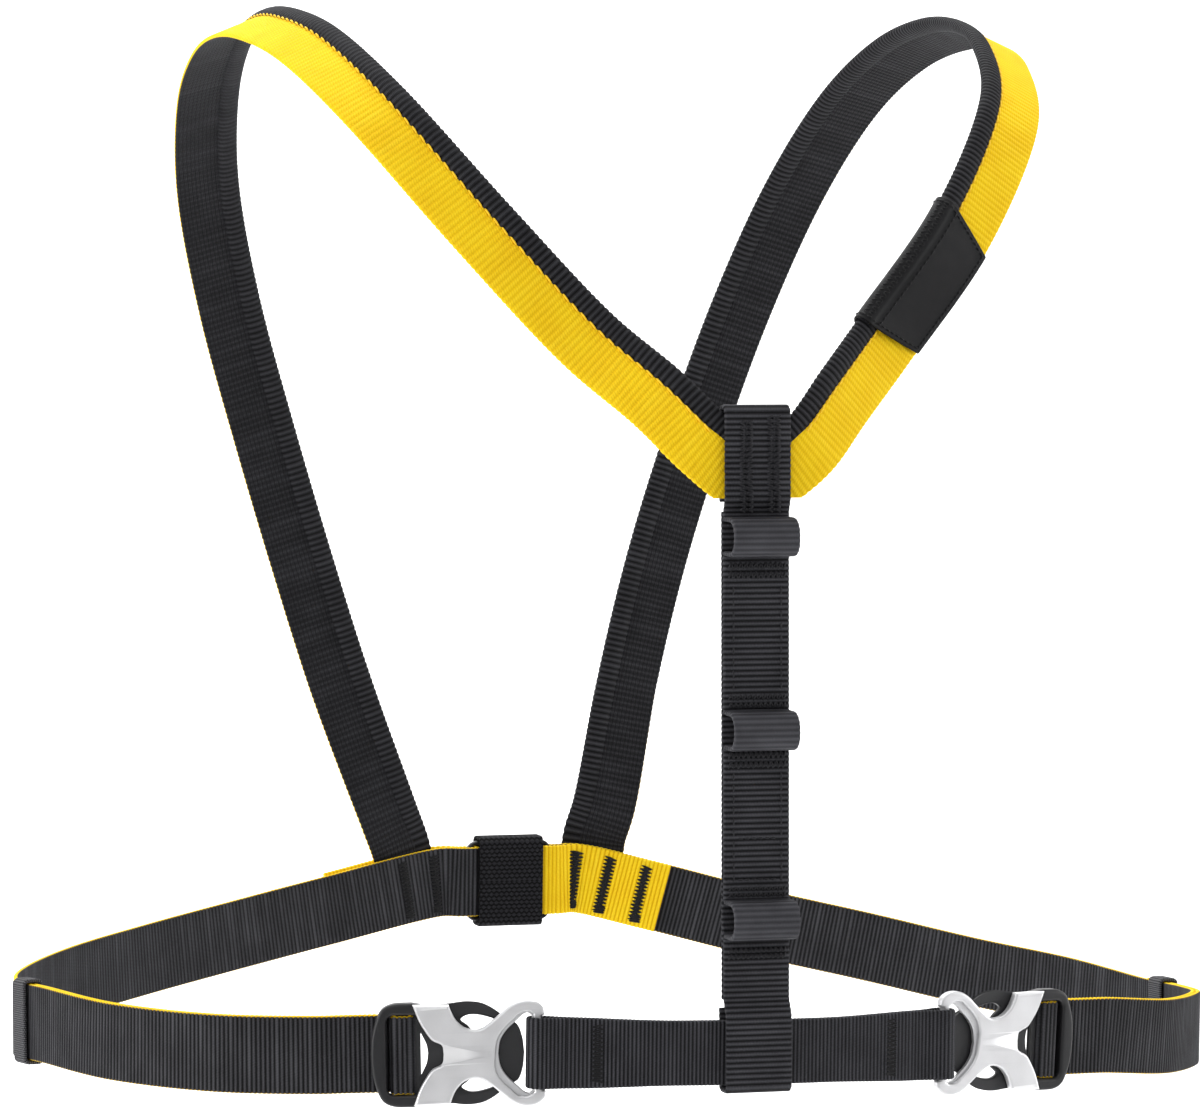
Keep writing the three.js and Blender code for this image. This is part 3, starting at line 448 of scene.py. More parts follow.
def webbingMaterial(name, look):
    # ribs across the strap, with painted shade in their valleys and a painted highlight on their crests,
    # yarns along it, and another colour on the other face
    fixed = {"Roughness": look["roughness"], "Specular IOR Level": look["specular"],
             "Sheen Weight": look["sheen"], "Sheen Roughness": 0.45}
    material, tree, shader = newMaterial(name, fixed)
    uv = addNode(tree, "ShaderNodeUVMap", uv_map="strap").outputs[0]
    split = addNode(tree, "ShaderNodeSeparateXYZ", {0: uv})
    u, v = split.outputs[0], split.outputs[1]
    rib = maths(tree, "FRACT", maths(tree, "DIVIDE", u, look["pitch"]))
    fromCrest = maths(tree, "ABSOLUTE", maths(tree, "SUBTRACT", rib, 0.5))
    # painted shade: the valleys between the ribs are darkened
    valley = ramp(tree, fromCrest, look["valley"], 0.5)
    # painted highlight: the rib crests are lightened
    crestHighlight = maths(tree, "MULTIPLY", ramp(tree, fromCrest, 0.26, 0.04), look["crestHighlight"])
    ribNumber = maths(tree, "FLOOR", maths(tree, "DIVIDE", u, look["pitch"]))
    # yarns lie side by side across the strap, and step by half a yarn from rib to rib
    shift = maths(tree, "MULTIPLY", ribNumber, look["yarn"] / 2)
    yarnAt = maths(tree, "DIVIDE", maths(tree, "ADD", v, shift), look["yarn"])
    slant = maths(tree, "ADD", yarnAt, maths(tree, "MULTIPLY", rib, look["slant"]))
    yarn = maths(tree, "ABSOLUTE", maths(tree, "SINE", maths(tree, "MULTIPLY", slant, math.pi)))
    stretched = addNode(tree, "ShaderNodeCombineXYZ", {0: u, 1: maths(tree, "MULTIPLY", v, 3.0)})
    fibre = noise(tree, stretched.outputs[0], 2.2, 3.0)
    patchy = noise(tree, uv, 0.07, 2.0)
    # some ribs catch more light than their neighbours
    ribPlace = {0: maths(tree, "MULTIPLY", ribNumber, 0.37), 1: maths(tree, "MULTIPLY", v, 0.008)}
    streak = noise(tree, addNode(tree, "ShaderNodeCombineXYZ", ribPlace).outputs[0], 3.0, 1.0)
    streak = ramp(tree, streak, 0.48, 0.72, 0.0, look["streak"])
    face = addNode(tree, "ShaderNodeAttribute", attribute_name="face").outputs["Fac"]
    wobble = maths(tree, "MULTIPLY_ADD", valley, look["bead"], look["edge"])
    inner = ramp(tree, maths(tree, "SUBTRACT", face, wobble), 0.12, -0.12)
    tones = []
    for side in ("outer", "inner"):
        base, dark, bright = look[side]
        tone = blendColours(tree, ramp(tree, fibre, 0.3, 0.75, 0.0, 0.45), base, bright)
        # painted highlight on the rib crests
        tone = blendColours(tree, crestHighlight, tone, bright)
        tone = blendColours(tree, streak, tone, bright)
        tone = blendColours(tree, maths(tree, "MULTIPLY", ramp(tree, yarn, 0.5, 0.0), 0.55), tone, dark)
        # painted shade in the rib valleys
        tone = blendColours(tree, maths(tree, "MULTIPLY", valley, look["valleyShade"]), tone, dark)
        tones.append(tone)
    tone = blendColours(tree, inner, tones[0], tones[1])
    # painted highlight on the loops that stand well out from the strap
    if look.get("paintedLoopHighlight"):
        paintedLoopHighlight = addNode(tree, "ShaderNodeAttribute", attribute_name="paintedLoopHighlight").outputs["Fac"]
        tone = blendColours(tree, maths(tree, "MULTIPLY", paintedLoopHighlight, look["paintedLoopHighlight"]), tone, look["outer"][2])
    tone = blendColours(tree, ramp(tree, patchy, 0.3, 0.75, 0.0, 0.25), tone, (0, 0, 0, 1), "SOFT_LIGHT")
    tree.links.new(tone, shader.inputs["Base Color"])
    if look.get("waffle"):  # the inner face is woven in small squares
        square = maths(tree, "FRACT", maths(tree, "DIVIDE", v, look["waffle"]))
        gap = ramp(tree, maths(tree, "ABSOLUTE", maths(tree, "SUBTRACT", square, 0.5)), 0.3, 0.5)
        gap = maths(tree, "MULTIPLY", gap, inner)
        yarn = maths(tree, "SUBTRACT", yarn, maths(tree, "MULTIPLY", gap, 1.6))
        darker = blendColours(tree, maths(tree, "MULTIPLY", gap, 0.6), tone, look["inner"][1])
        tree.links.new(darker, shader.inputs["Base Color"])
    relief = maths(tree, "MULTIPLY_ADD", yarn, 0.55, maths(tree, "MULTIPLY", fibre, 0.6))
    setBump(tree, shader, relief, look["bump"] * 0.001, 0.9)
    return material


blackCloth = [colour(22, 22, 24), colour(2, 2, 3), colour(66, 66, 70)]
yellowCloth = [colour(236, 196, 10), colour(205, 158, 0), colour(246, 217, 50)]
# each look sets how strong the painted highlight on the rib crests and the painted shade in the rib valleys
# are
webbingLook = {
    "belt": {"pitch": 1.5, "yarn": 0.5, "slant": 0.5, "roughness": 0.66, "specular": 0.09,
             "sheen": 0.0, "streak": 0.4, "bead": 0.2, "edge": 0.65, "valley": 0.25,
             "valleyShade": 0.9, "crestHighlight": 0.45, "bump": 0.12,
             "outer": [colour(26, 26, 28), colour(2, 2, 3), colour(84, 84, 88)],
             "inner": yellowCloth},
    "yellow": {"pitch": 2.05, "yarn": 0.9, "slant": 0.9, "roughness": 0.72, "specular": 0.1,
               "sheen": 0.02, "streak": 0.25, "bead": 0.25, "edge": -0.6, "valley": 0.16, "valleyShade": 0.3,
               "crestHighlight": 0.3, "bump": 0.12, "waffle": 1.45,
               "outer": yellowCloth, "inner": blackCloth},
    "black": {"pitch": 2.05, "yarn": 0.5, "slant": 0.5, "roughness": 0.64, "specular": 0.09,
              "sheen": 0.0, "streak": 0.2, "bead": 0.0, "edge": -3.0, "valley": 0.22, "valleyShade": 0.95,
              "crestHighlight": 0.5, "bump": 0.12,
              "outer": blackCloth, "inner": blackCloth},
}
beltCloth = webbingMaterial("belt webbing, black and yellow", webbingLook["belt"])
strapCloth = webbingMaterial("shoulder webbing, yellow and black", webbingLook["yellow"])
tubeCloth = webbingMaterial("tubular edge, black", webbingLook["black"])
frontCloth = [colour(32, 32, 35), colour(2, 2, 3), colour(84, 84, 89)]
frontLook = {**webbingLook["black"], "outer": frontCloth, "inner": frontCloth}
# its loops get a painted highlight where they stand out
centreCloth = webbingMaterial("centre webbing, black", {**frontLook, "pitch": 1.75, "paintedLoopHighlight": 0.4})
bandCloth = webbingMaterial("front band webbing, black", {**frontLook, "pitch": 1.3})
print("cloth materials made")


# Belt straps
belt = {"ribPitch": 1.5, "ribDepth": 0.22, "thickness": 1.6, "easing": 12, "humpRound": 1.8,
        "shoulderHalf": 0.9}
bendRound = harness["web"] / 2 + harness["gap"]
seamLayer = harness["web"] / 2 + back["seamRoom"] + belt["shoulderHalf"]
leftShoulderOut = seamLayer - layer
rightShoulderOut = seamLayer + layer
leftFoldOut = leftShoulderOut + seamLayer


def frontCorners(hand):
    return [
        [tailEnd[hand], layer],
        [outerSlot, layer, bendRound],
        [outerSlot, humpLevel, belt["humpRound"]],
        [innerSlot, humpLevel, belt["humpRound"]],
        [innerSlot, -layer, bendRound],
    ]


def beltCorners(hand):
    at, ease, bend = beltLines[hand]["back"], belt["easing"], back["bend"]
    half = back["adjusterLength"] / 2
    slot, settle, end = at - half + back["bar"], at - half - back["settle"], at - half - back["end"]
    if hand == "left":  # comes in on the inside and folds back outside, over the shoulder strap
        return frontCorners(hand) + [
            [settle, -layer, ease],
            [end, -adjusterLayer, ease],
            [slot, -adjusterLayer, bendRound],
            [slot, adjusterLayer, bendRound],
            [end, adjusterLayer, bend],
            [settle, leftFoldOut, bend],
            [at - back["leftFold"], leftFoldOut],
        ]
    return frontCorners(hand) + [  # moves outside on its way and its folded end shows inside
        [tailEnd[hand] + back["swap"] / 2, -layer, ease],
        [at - back["rightFold"] - back["swap"], layer, ease],
        [settle, layer, ease],
        [end, adjusterLayer, ease],
        [slot, adjusterLayer, bendRound],
        [slot, -adjusterLayer, bendRound],
        [end, -adjusterLayer, ease],
        [settle, -layer, ease],
        [at - back["rightFold"], -layer],
    ]


def routeOn(line, corners):
    path = roundedPath(corners, routeSpacing)
    points = line["place"](path[:, 0], path[:, 1])
    high = line["frameAt"](path[:, 0])[2]
    direction = unit(np.gradient(points, axis=0))
    normal = unit(np.cross(high, direction))
    return {"point": points, "side": high, "normal": normal, "at": measured(points)}


for hand in handSign:
    line = beltLines[hand]
    route = routeOn(line, beltCorners(hand))
    outward = line["frameAt"](np.array([tailEnd[hand]]))[1]
    if float(route["normal"][0] @ outward[0]) < 0:  # the black face lies outward on the tail
        route["normal"] = -route["normal"]
    outline = webbingOutline(harness["beltWidth"], belt["thickness"])
    strap = ribbedStrap(f"{hand}_belt_webbing", route, outline, belt)
    finishPiece(strap, f"{hand}_belt_strap", beltCloth, 60)
print("belt straps woven")


# Shoulder straps
shoulder = {
    "webWidth": 15.3, "web": 1.8, "tubeWidth": 7.4, "tubeThickness": 4.6,
    "ribPitch": 2.05, "ribDepth": 0.26, "tubeRibDepth": 0.3, "joinTilt": 16, "tuck": 2,
    "tubeEase": 0.2, "webEase": 0.2,
    "join": {"left": 0.222, "right": 0.318},
}
# across is a share of the half span, deep of the reach in front or behind, high of the belt's
# drop. lean is how far the outer edge hangs below the neck side, in degrees, and thick is the
# tubular edge's share of its thickness
shoulderRows = [
    {"across": -0.07, "deep": -0.987, "high": -0.46, "lean": 52, "thick": 0.39},
    {"across": 0.05, "deep": -0.987, "high": -0.431, "lean": 52, "thick": 0.39},
    {"across": 0.14, "deep": -0.984, "high": -0.403, "lean": 52, "thick": 0.5},
    {"across": 0.25, "deep": -0.935, "high": -0.358, "lean": 50, "thick": 0.9},
    {"across": 0.4, "deep": -0.847, "high": -0.303, "lean": 44, "thick": 1},
    {"across": 0.645, "deep": -0.758, "high": -0.196, "lean": 37, "thick": 1},
    {"across": 0.87, "deep": -0.563, "high": -0.077, "lean": 27, "thick": 1},
    {"across": 0.96, "deep": -0.313, "high": -0.017, "lean": 25, "thick": 1},
    {"across": 0.995, "deep": -0.107, "high": 0.003, "lean": 23, "thick": 1},
    {"across": 1.0, "deep": 0.11, "high": 0.005, "lean": 23, "thick": 1},
    {"across": 0.98, "deep": 0.373, "high": -0.016, "lean": 19, "thick": 1},
    {"across": 0.94, "deep": 0.646, "high": -0.072, "lean": 14, "thick": 1},
    {"across": 0.87, "deep": 0.875, "high": -0.172, "lean": 14, "thick": 1},
    {"across": 0.767, "deep": 1.0, "high": -0.301, "lean": 17, "thick": 1},
    {"across": 0.646, "deep": 1.045, "high": -0.446, "lean": 18, "thick": 1},
    {"across": 0.533, "deep": 1.045, "high": -0.586, "lean": 16, "thick": 1},
    {"across": 0.42, "right": 0.446, "deep": 1.035, "high": -0.72, "lean": 17, "thick": 1},
]
# the ends on the belt: left and right are how much nearer the back's middle each row lies
joinRows = [
    {"high": 1.1, "left": -3.2, "right": -0.5, "thick": 0.8},
    {"high": 0.62, "left": -0.8, "right": 0.4, "thick": 0.4},
    {"high": 0.3, "left": 0, "right": 0, "thick": 0.39},
    {"high": -0.3, "left": 3, "right": 0.4, "thick": 0.39},
]
strapWidth = shoulder["tubeWidth"] + harness["gap"] + shoulder["webWidth"]
tubeMiddle = (shoulder["tubeWidth"] - strapWidth) / 2
webMiddle = (strapWidth - shoulder["webWidth"]) / 2
centre = {
    "width": 22.3, "capHeight": 35, "capRoom": 0.8, "capEasing": 5, "tunnelHeight": 12.5,
    "tunnelDepth": 10.5, "tunnelRound": 4.6, "footRound": 1.8, "wrapRoom": 0.8, "top": 206.08,
    "lean": 2.4, "tunnels": [0.202, 0.5, 0.792], "ribPitch": 1.75, "ribDepth": 0.2,
    "bandWidth": 20.8,
}
centreTopZ = centre["top"] - harness["beltDrop"] * sum(buckle["drop"].values()) / 2
capMiddleY = -0.985 * harness["chestReach"]


def shoulderRoute(hand):
    sign = handSign[hand]
    line = beltLines[hand]
    knots = [
        (sign * row.get(hand, row["across"]) * harness["shoulderHalfSpan"], reachOf(row["deep"]),
         row["high"] * harness["beltDrop"])
        for row in shoulderRows
    ]
    leans = [row["lean"] for row in shoulderRows]
    thicks = [row["thick"] for row in shoulderRows]
    wanted = shoulder["join"][hand] * harness["shoulderHalfSpan"]
    s = line["back"] - (wanted - sign * back["shift"])
    away = leftShoulderOut if hand == "left" else rightShoulderOut
    facing = line["frameAt"](s)[1]
    firstJoin = len(knots)
    for row in joinRows:
        spot = np.array([s + row[hand]])
        knots.append(line["place"](spot, away, row["high"] * harness["beltWidth"])[0])
        leans.append(shoulder["joinTilt"])
        thicks.append(row["thick"])
    perSpan = 24
    points = splineThrough(knots, perSpan)
    t = np.arange(len(points)) / perSpan
    order = np.arange(len(knots))
    tangent = unit(np.gradient(points, axis=0))
    lean = np.radians(np.interp(t, order, leans))
    pad = np.pad(lean, 12, mode="edge")
    lean = np.convolve(pad, np.ones(25) / 25, "valid")
    side = np.stack([sign * np.cos(lean), 0 * lean, -np.sin(lean)], -1)
    side = unit(side - tangent * (side * tangent).sum(-1, keepdims=True))
    normal = unit(np.cross(side, tangent)) * sign
    held = np.clip(t - (firstJoin - 1), 0, 1)[:, None]
    normal = unit(normal * (1 - held) + facing * held)
    side = unit(side - normal * (side * normal).sum(-1, keepdims=True))
    return {
        "point": points, "side": side, "normal": normal, "at": measured(points),
        "thick": np.interp(t, order, thicks),
    }


def trimAtCap(piece, sign):
    # what reaches past the chest's middle or out below the centre strap's cap is cut away
    lowest = (centreTopZ - centre["capHeight"] + centre["capEasing"] + 0.3) * 0.001
    cuts = [((sign * 0.00015, 0, 0), (sign, 0, 0), 1.0), ((0, 0, lowest), (0, 0, 1), 0.0112)]
    bpy.ops.object.mode_set(mode="OBJECT")
    for place, direction, reach in cuts:
        spots = vertexSpots(piece.data)
        near = (np.abs(spots[:, 0]) < max(reach, 0.012) * 1.4) & (spots[:, 1] < -0.1)
        if reach < 1:
            near &= np.abs(spots[:, 2] - lowest) < 0.03
        bpy.ops.object.mode_set(mode="EDIT")
        bpy.ops.mesh.select_all(action="DESELECT")
        bpy.ops.object.mode_set(mode="OBJECT")
        piece.data.vertices.foreach_set("select", near)
        bpy.ops.object.mode_set(mode="EDIT")
        bpy.ops.mesh.select_mode(type="VERT")
        bpy.ops.mesh.bisect(plane_co=place, plane_no=direction, use_fill=False, clear_inner=True)
        bpy.ops.mesh.select_all(action="SELECT")
        bpy.ops.mesh.fill_holes(sides=0)
        bpy.ops.object.mode_set(mode="OBJECT")


def ovalOutline(width, thickness, steps=16):
    angles = -2 * math.pi * (np.arange(steps) + 0.5) / steps + math.pi
    c, s = np.cos(angles), np.sin(angles)
    flat = np.sign(s) * np.abs(s) ** 0.85
    return np.stack([width / 2 * c, thickness / 2 * flat, c, s], -1)


shoulderRoutes = {hand: shoulderRoute(hand) for hand in handSign}
for hand, sign in handSign.items():
    route = shoulderRoutes[hand]
    tuck = shoulder["tuck"]
    flat = webbingOutline(shoulder["webWidth"] + tuck, shoulder["web"] - shoulder["webEase"])
    flat[:, 0] += webMiddle - tuck / 2
    even = {key: values for key, values in route.items() if key != "thick"}
    webbing = ribbedStrap(f"{hand}_shoulder_strap", even, flat, shoulder)
    trimAtCap(webbing, sign)
    finishPiece(webbing, f"{hand}_shoulder_webbing", strapCloth, 60)
    oval = ovalOutline(shoulder["tubeWidth"] + shoulder["tubeEase"], shoulder["tubeThickness"])
    oval[:, 0] += tubeMiddle
    ribs = {"ribPitch": shoulder["ribPitch"], "ribDepth": shoulder["tubeRibDepth"]}
    tube = ribbedStrap(f"{hand}_tubular_edge", route, oval, ribs)
    trimAtCap(tube, sign)
    finishPiece(tube, f"{hand}_shoulder_edge_tube", tubeCloth, 60)
print("shoulder straps woven")


# Centre strap
def centrePlace(down, out):
    share = down / centre["top"]
    across = (share - 0.5) * centre["lean"]
    deep = capMiddleY + (-harness["chestReach"] - capMiddleY) * share
    return np.stack([across, deep - out, centreTopZ - down], -1)


def centreRoute(corners):
    path = roundedPath(corners, routeSpacing)
    points = centrePlace(path[:, 0], path[:, 1])
    direction = unit(np.gradient(points, axis=0))
    side = np.broadcast_to(np.array((1.0, 0.0, 0.0)), points.shape)
    normal = unit(np.cross(direction, side))
    return {"point": points, "side": side, "normal": normal, "at": measured(points)}


def markLoops(mesh):
    # 1 where the webbing stands well out in a loop, where a painted highlight lightens it, and 0 elsewhere
    spots = vertexSpots(mesh) * 1000
    down = centreTopZ - spots[:, 2]
    out = centrePlace(down, 0.0)[:, 1] - spots[:, 1]
    lifted = np.clip((out - layer - 3) / (centre["tunnelDepth"] - 4), 0, 1)
    lifted *= (down > centre["capHeight"]) * (down < centre["top"] - centre["bandWidth"])
    markPoints(mesh, "paintedLoopHighlight", lifted)


web = harness["web"]
capLayer = shoulder["web"] / 2 + centre["capRoom"] + web / 2
bandLayer = layer + web / 2 + centre["wrapRoom"] + web / 2
halfBand = centre["bandWidth"] / 2 + centre["wrapRoom"] + web / 2
foot = centre["top"] + halfBand
frontRun = [
    [centre["capHeight"] - 4, -capLayer],
    [web / 2, -capLayer, capLayer - 0.1],
    [web / 2, capLayer, capLayer - 0.1],
    [centre["capHeight"] - centre["capEasing"], capLayer, 4],
    [centre["capHeight"] - 1, layer, 4],
]
for share in centre["tunnels"]:
    middle = share * centre["top"]
    high = middle - centre["tunnelHeight"] / 2 + web / 2
    low = middle + centre["tunnelHeight"] / 2 - web / 2
    far = layer + centre["tunnelDepth"]
    frontRun += [[high, layer, 1], [high, far, centre["tunnelRound"]]]
    frontRun += [[low, far, centre["tunnelRound"]], [low, layer, 1]]
frontRun += [
    [centre["top"] - halfBand - centre["capEasing"], layer, 4],
    [centre["top"] - halfBand, bandLayer, 3],
    [foot, bandLayer, centre["footRound"]],
    [foot, -bandLayer, centre["footRound"]],
    [centre["top"] - halfBand - 2, -bandLayer],
]
loopRoute = centreRoute(frontRun)
flat = webbingOutline(centre["width"], web)
strap = ribbedStrap("centre_strap", loopRoute, flat, centre)
markLoops(strap.data)
finishPiece(strap, "centre_loop_strap", centreCloth, 60)
backRoute = centreRoute([
    [centre["capHeight"] - 1, -layer],
    [centre["top"] - halfBand - centre["capEasing"], -layer],
])
strap = ribbedStrap("centre_backing", backRoute, flat, centre)
finishPiece(strap, "centre_backing_strap", centreCloth, 60)
print("centre strap woven")


# Front band
band = {"width": 20.8, "endWidth": 22.8, "ribPitch": 1.3, "ribDepth": 0.16, "pinch": 9}


def bandPlace(x, n):
    angle = np.clip(x / bandRadius, -buckle["turn"], buckle["turn"])
    beyond = x - angle * bandRadius
    c, s = np.cos(angle), np.sin(angle)
    share = x / bandHalf / 2 + 0.5
    drop = buckle["drop"]["left"] + (buckle["drop"]["right"] - buckle["drop"]["left"]) * share
    middle = np.stack([
        bandRadius * s + beyond * c,
        bandRadius * (1 - c) - harness["chestReach"] + beyond * s,
        -harness["beltDrop"] * drop,
    ], -1)
    return middle + np.stack([s, -c, 0 * c], -1) * np.reshape(n, (-1, 1))


bandEnd = bandRadius * buckle["turn"]
bandFold = 0.71 * buckle["ringBar"] + buckle["foldRoom"] + web / 2
straightEnd = bandEnd - band["pinch"]
half = [(x, layer) for x in np.linspace(-straightEnd, straightEnd, 15)]
half += [
    (bandEnd + bandFold * math.cos(a), bandFold * math.sin(a))
    for a in np.linspace(math.pi / 2, -math.pi / 2, 7)
]
ring = np.array(half + [(-x, -n) for x, n in half])
ring = closedSpline(ring, 12)
ring = np.vstack([ring, ring[:1]])
points = bandPlace(ring[:, 0], ring[:, 1])
direction = unit(np.gradient(points, axis=0))
direction[0] = direction[-1] = unit(points[1] - points[-2])
bandRoute = {
    "point": points, "side": np.broadcast_to(skyward, points.shape),
    "normal": unit(np.cross(skyward, direction)) * -1, "at": measured(points),
}
spread = np.clip((np.abs(ring[:, 0]) / bandEnd - 0.35) / 0.55, 0, 1)
spread = spread**2 * (3 - 2 * spread)
widths = (bandRoute["at"], 1 + (band["endWidth"] / band["width"] - 1) * spread)
flat = webbingOutline(band["width"], web)
strap = ribbedStrap("front_band_webbing", bandRoute, flat, band, widths, closed=True)
finishPiece(strap, "front_band", bandCloth, 60)
print("front band woven")


# Elastic keepers and the sleeve on the back adjuster
def elasticMaterial(name, look):
    # a knitted elastic: rows of small bars, each row stepped by half a bar
    fixed = {"Roughness": 0.74, "Specular IOR Level": 0.1, "Sheen Weight": 0.0}
    material, tree, shader = newMaterial(name, fixed)
    uv = addNode(tree, "ShaderNodeUVMap", uv_map="strap").outputs[0]
    split = addNode(tree, "ShaderNodeSeparateXYZ", {0: uv})
    along = maths(tree, "DIVIDE", split.outputs[0], look["row"])
    rowNumber = maths(tree, "FLOOR", along)
    step = maths(tree, "MULTIPLY", rowNumber, 0.5)
    across = maths(tree, "ADD", maths(tree, "DIVIDE", split.outputs[1], look["bar"]), step)
    awayRow = maths(tree, "ABSOLUTE", maths(tree, "SUBTRACT", maths(tree, "FRACT", along), 0.5))
    awayBar = maths(tree, "ABSOLUTE", maths(tree, "SUBTRACT", maths(tree, "FRACT", across), 0.5))
    diamond = maths(tree, "ADD", awayRow, maths(tree, "MULTIPLY", awayBar, look["pointed"]))
    hollow = ramp(tree, diamond, look["low"], look["high"])
    fibre = noise(tree, uv, 3.0, 3.0)
    light = blendColours(tree, fibre, look["base"], look["bright"])
    tone = blendColours(tree, hollow, light, look["dark"])
    tree.links.new(tone, shader.inputs["Base Color"])
    raised = maths(tree, "SUBTRACT", maths(tree, "MULTIPLY", fibre, 0.4), hollow)
    setBump(tree, shader, raised, 0.0003, 0.9)
    return material


elasticLook = {
    "keeper": {"row": 0.7, "bar": 0.8, "pointed": 0.8, "low": 0.3, "high": 0.7,
               "base": colour(48, 48, 50), "bright": colour(112, 112, 116), "dark": colour(10, 10, 11)},
    "sleeve": {"row": 1.5, "bar": 1.9, "pointed": 1.0, "low": 0.3, "high": 0.72,
               "base": colour(15, 15, 17), "bright": colour(46, 46, 50), "dark": colour(2, 2, 3)},
}
keeperCloth = elasticMaterial("keeper elastic", elasticLook["keeper"])
sleeveCloth = elasticMaterial("sleeve elastic", elasticLook["sleeve"])
keeper = {"length": 11, "wall": 1.2, "slack": 0.6, "ribPitch": 1.4, "ribDepth": 0.06}


def wrapOn(name, hand, s, size, high, deep, cadNode, material):
    # a closed band round the belt at s; high and deep are the room inside it
    line = beltLines[hand]
    centrePoint = line["place"](np.array([s]))[0]
    tangent, outward, up = (v[0] for v in line["frameAt"](np.array([s])))
    h, d, r = high / 2 + size["wall"] / 2, deep / 2 + size["wall"] / 2, size["round"]
    ring = roundedPath([[0, -d], [h, -d, r], [h, d, r], [-h, d, r], [-h, -d, r], [0, -d]], 0.5)
    points = centrePoint + ring[:, :1] * up + ring[:, 1:] * outward
    direction = unit(np.gradient(points, axis=0))
    direction[0] = direction[-1] = unit(points[1] - points[-2])
    side = np.broadcast_to(tangent, points.shape)
    normal = unit(np.cross(side, direction))
    normal = normal * np.sign(((points - centrePoint) * normal).sum(-1, keepdims=True))
    route = {"point": points, "side": side, "normal": normal, "at": measured(points)}
    flat = webbingOutline(size["length"], size["wall"], faceSteps=10)
    finishPiece(ribbedStrap(name, route, flat, size, closed=True), cadNode, material, 60)


for hand in handSign:
    size = {**keeper, "round": 1.4}
    high = harness["beltWidth"] + 2 * harness["gap"]
    deep = 2 * (layer + harness["web"] / 2 + keeper["slack"])
    wrapOn(f"{hand}_keeper_band", hand, keeperAt[hand], size, high, deep,
           f"{hand}_end_keeper", keeperCloth)
size = {"length": back["sleeveLength"], "wall": back["sleeveWall"], "round": 1.8,
        "ribPitch": 1.15, "ribDepth": 0.14}
high = back["adjusterHeight"] + 2 * harness["gap"]
deep = 2 * (adjusterLayer + harness["web"] / 2 + harness["gap"])
wrapOn("adjuster_sleeve", "left", beltLines["left"]["back"], size, high, deep,
       "back_keeper", sleeveCloth)
print("keepers woven")


# Plates of plastic and metal
def platePiece(name, outlines, low, high, bevel):
    # a flat plate between two heights with rounded edges; the first outline is its rim and the
    # others are its holes
    flat = bpy.data.curves.new(name, "CURVE")
    flat.dimensions = "2D"
    flat.fill_mode = "BOTH"
    flat.extrude = ((high - low) / 2 - bevel) * 0.001
    flat.bevel_depth = bevel * 0.001
    flat.bevel_resolution = 3
    flat.offset = -bevel * 0.001
    for outline in outlines:
        line = flat.splines.new("POLY")
        line.points.add(len(outline) - 1)
        spots = np.zeros((len(outline), 4))
        spots[:, :2] = np.asarray(outline) * 0.001
        line.points.foreach_set("co", spots.ravel())
        line.use_cyclic_u = True
    plate = bpy.data.objects.new(name, flat)
    bpy.context.collection.objects.link(plate)
    plate.location.z = (low + high) / 2 * 0.001
    pick(plate)
    bpy.ops.object.convert(target="MESH")
    bpy.ops.object.transform_apply(location=True, rotation=True, scale=True)
    faceOutward(merge=1e-6)
    return plate


def joined(pieces):
    pick(*pieces)
    bpy.ops.object.join()
    return pieces[0]


def cutAway(piece, cutter):
    pick(piece)
    cut = piece.modifiers.new("cut", "BOOLEAN")
    cut.operation = "DIFFERENCE"
    cut.solver = "EXACT"
    cut.object = cutter
    bpy.ops.object.modifier_apply(modifier=cut.name)
    bpy.data.objects.remove(cutter)


def markEdges(piece):
    # how far the surface falls away round each vertex, which is most along its outer edges
    mesh = piece.data
    spots, normals = vertexSpots(mesh), vertexSpots(mesh, "normal")
    ends = np.zeros(len(mesh.edges) * 2, int)
    mesh.edges.foreach_get("vertices", ends)
    ends = ends.reshape(-1, 2)
    fall = np.zeros(len(spots))
    for near, far in (ends.T, ends.T[::-1]):
        drop = -(unit(spots[far] - spots[near]) * normals[near]).sum(-1)
        np.maximum.at(fall, near, drop)
    markPoints(mesh, "edge", fall)


def evenShading(piece):
    # flat faces keep their own shading beside rounded edges
    bpy.context.view_layer.objects.active = piece
    weighted = piece.modifiers.new("weighted", "WEIGHTED_NORMAL")
    weighted.keep_sharp = True
    bpy.ops.object.modifier_apply(modifier=weighted.name)
    markEdges(piece)


def bothHalves(rows):
    # the top half's points and then their mirror image below
    rows = np.asarray(rows, float)
    lower = rows[np.abs(rows[:, 1]) > 1e-6][::-1] * (1, -1)
    return np.vstack([rows, lower])


def plasticMaterial(name, tint, roughness):
    # moulded plastic: a fine spark texture, soft wear and a little unevenness
    material, tree, shader = newMaterial(name, {"Specular IOR Level": 0.32, "IOR": 1.5})
    place = addNode(tree, "ShaderNodeTexCoord").outputs["Object"]
    fine = noise(tree, place, 5200.0, 2.0)
    broad = noise(tree, place, 90.0, 3.0)
    tone = blendColours(tree, broad, tint[0], tint[1])
    edge = addNode(tree, "ShaderNodeAttribute", attribute_name="edge").outputs["Fac"]
    tone = blendColours(tree, ramp(tree, edge, 0.1, 0.45, 0.0, 0.35), tone, tint[2])
    tree.links.new(tone, shader.inputs["Base Color"])
    tree.links.new(ramp(tree, broad, 0.2, 0.8, roughness - 0.06, roughness + 0.08),
                   shader.inputs["Roughness"])
    setBump(tree, shader, fine, 0.00003, 0.6)
    return material


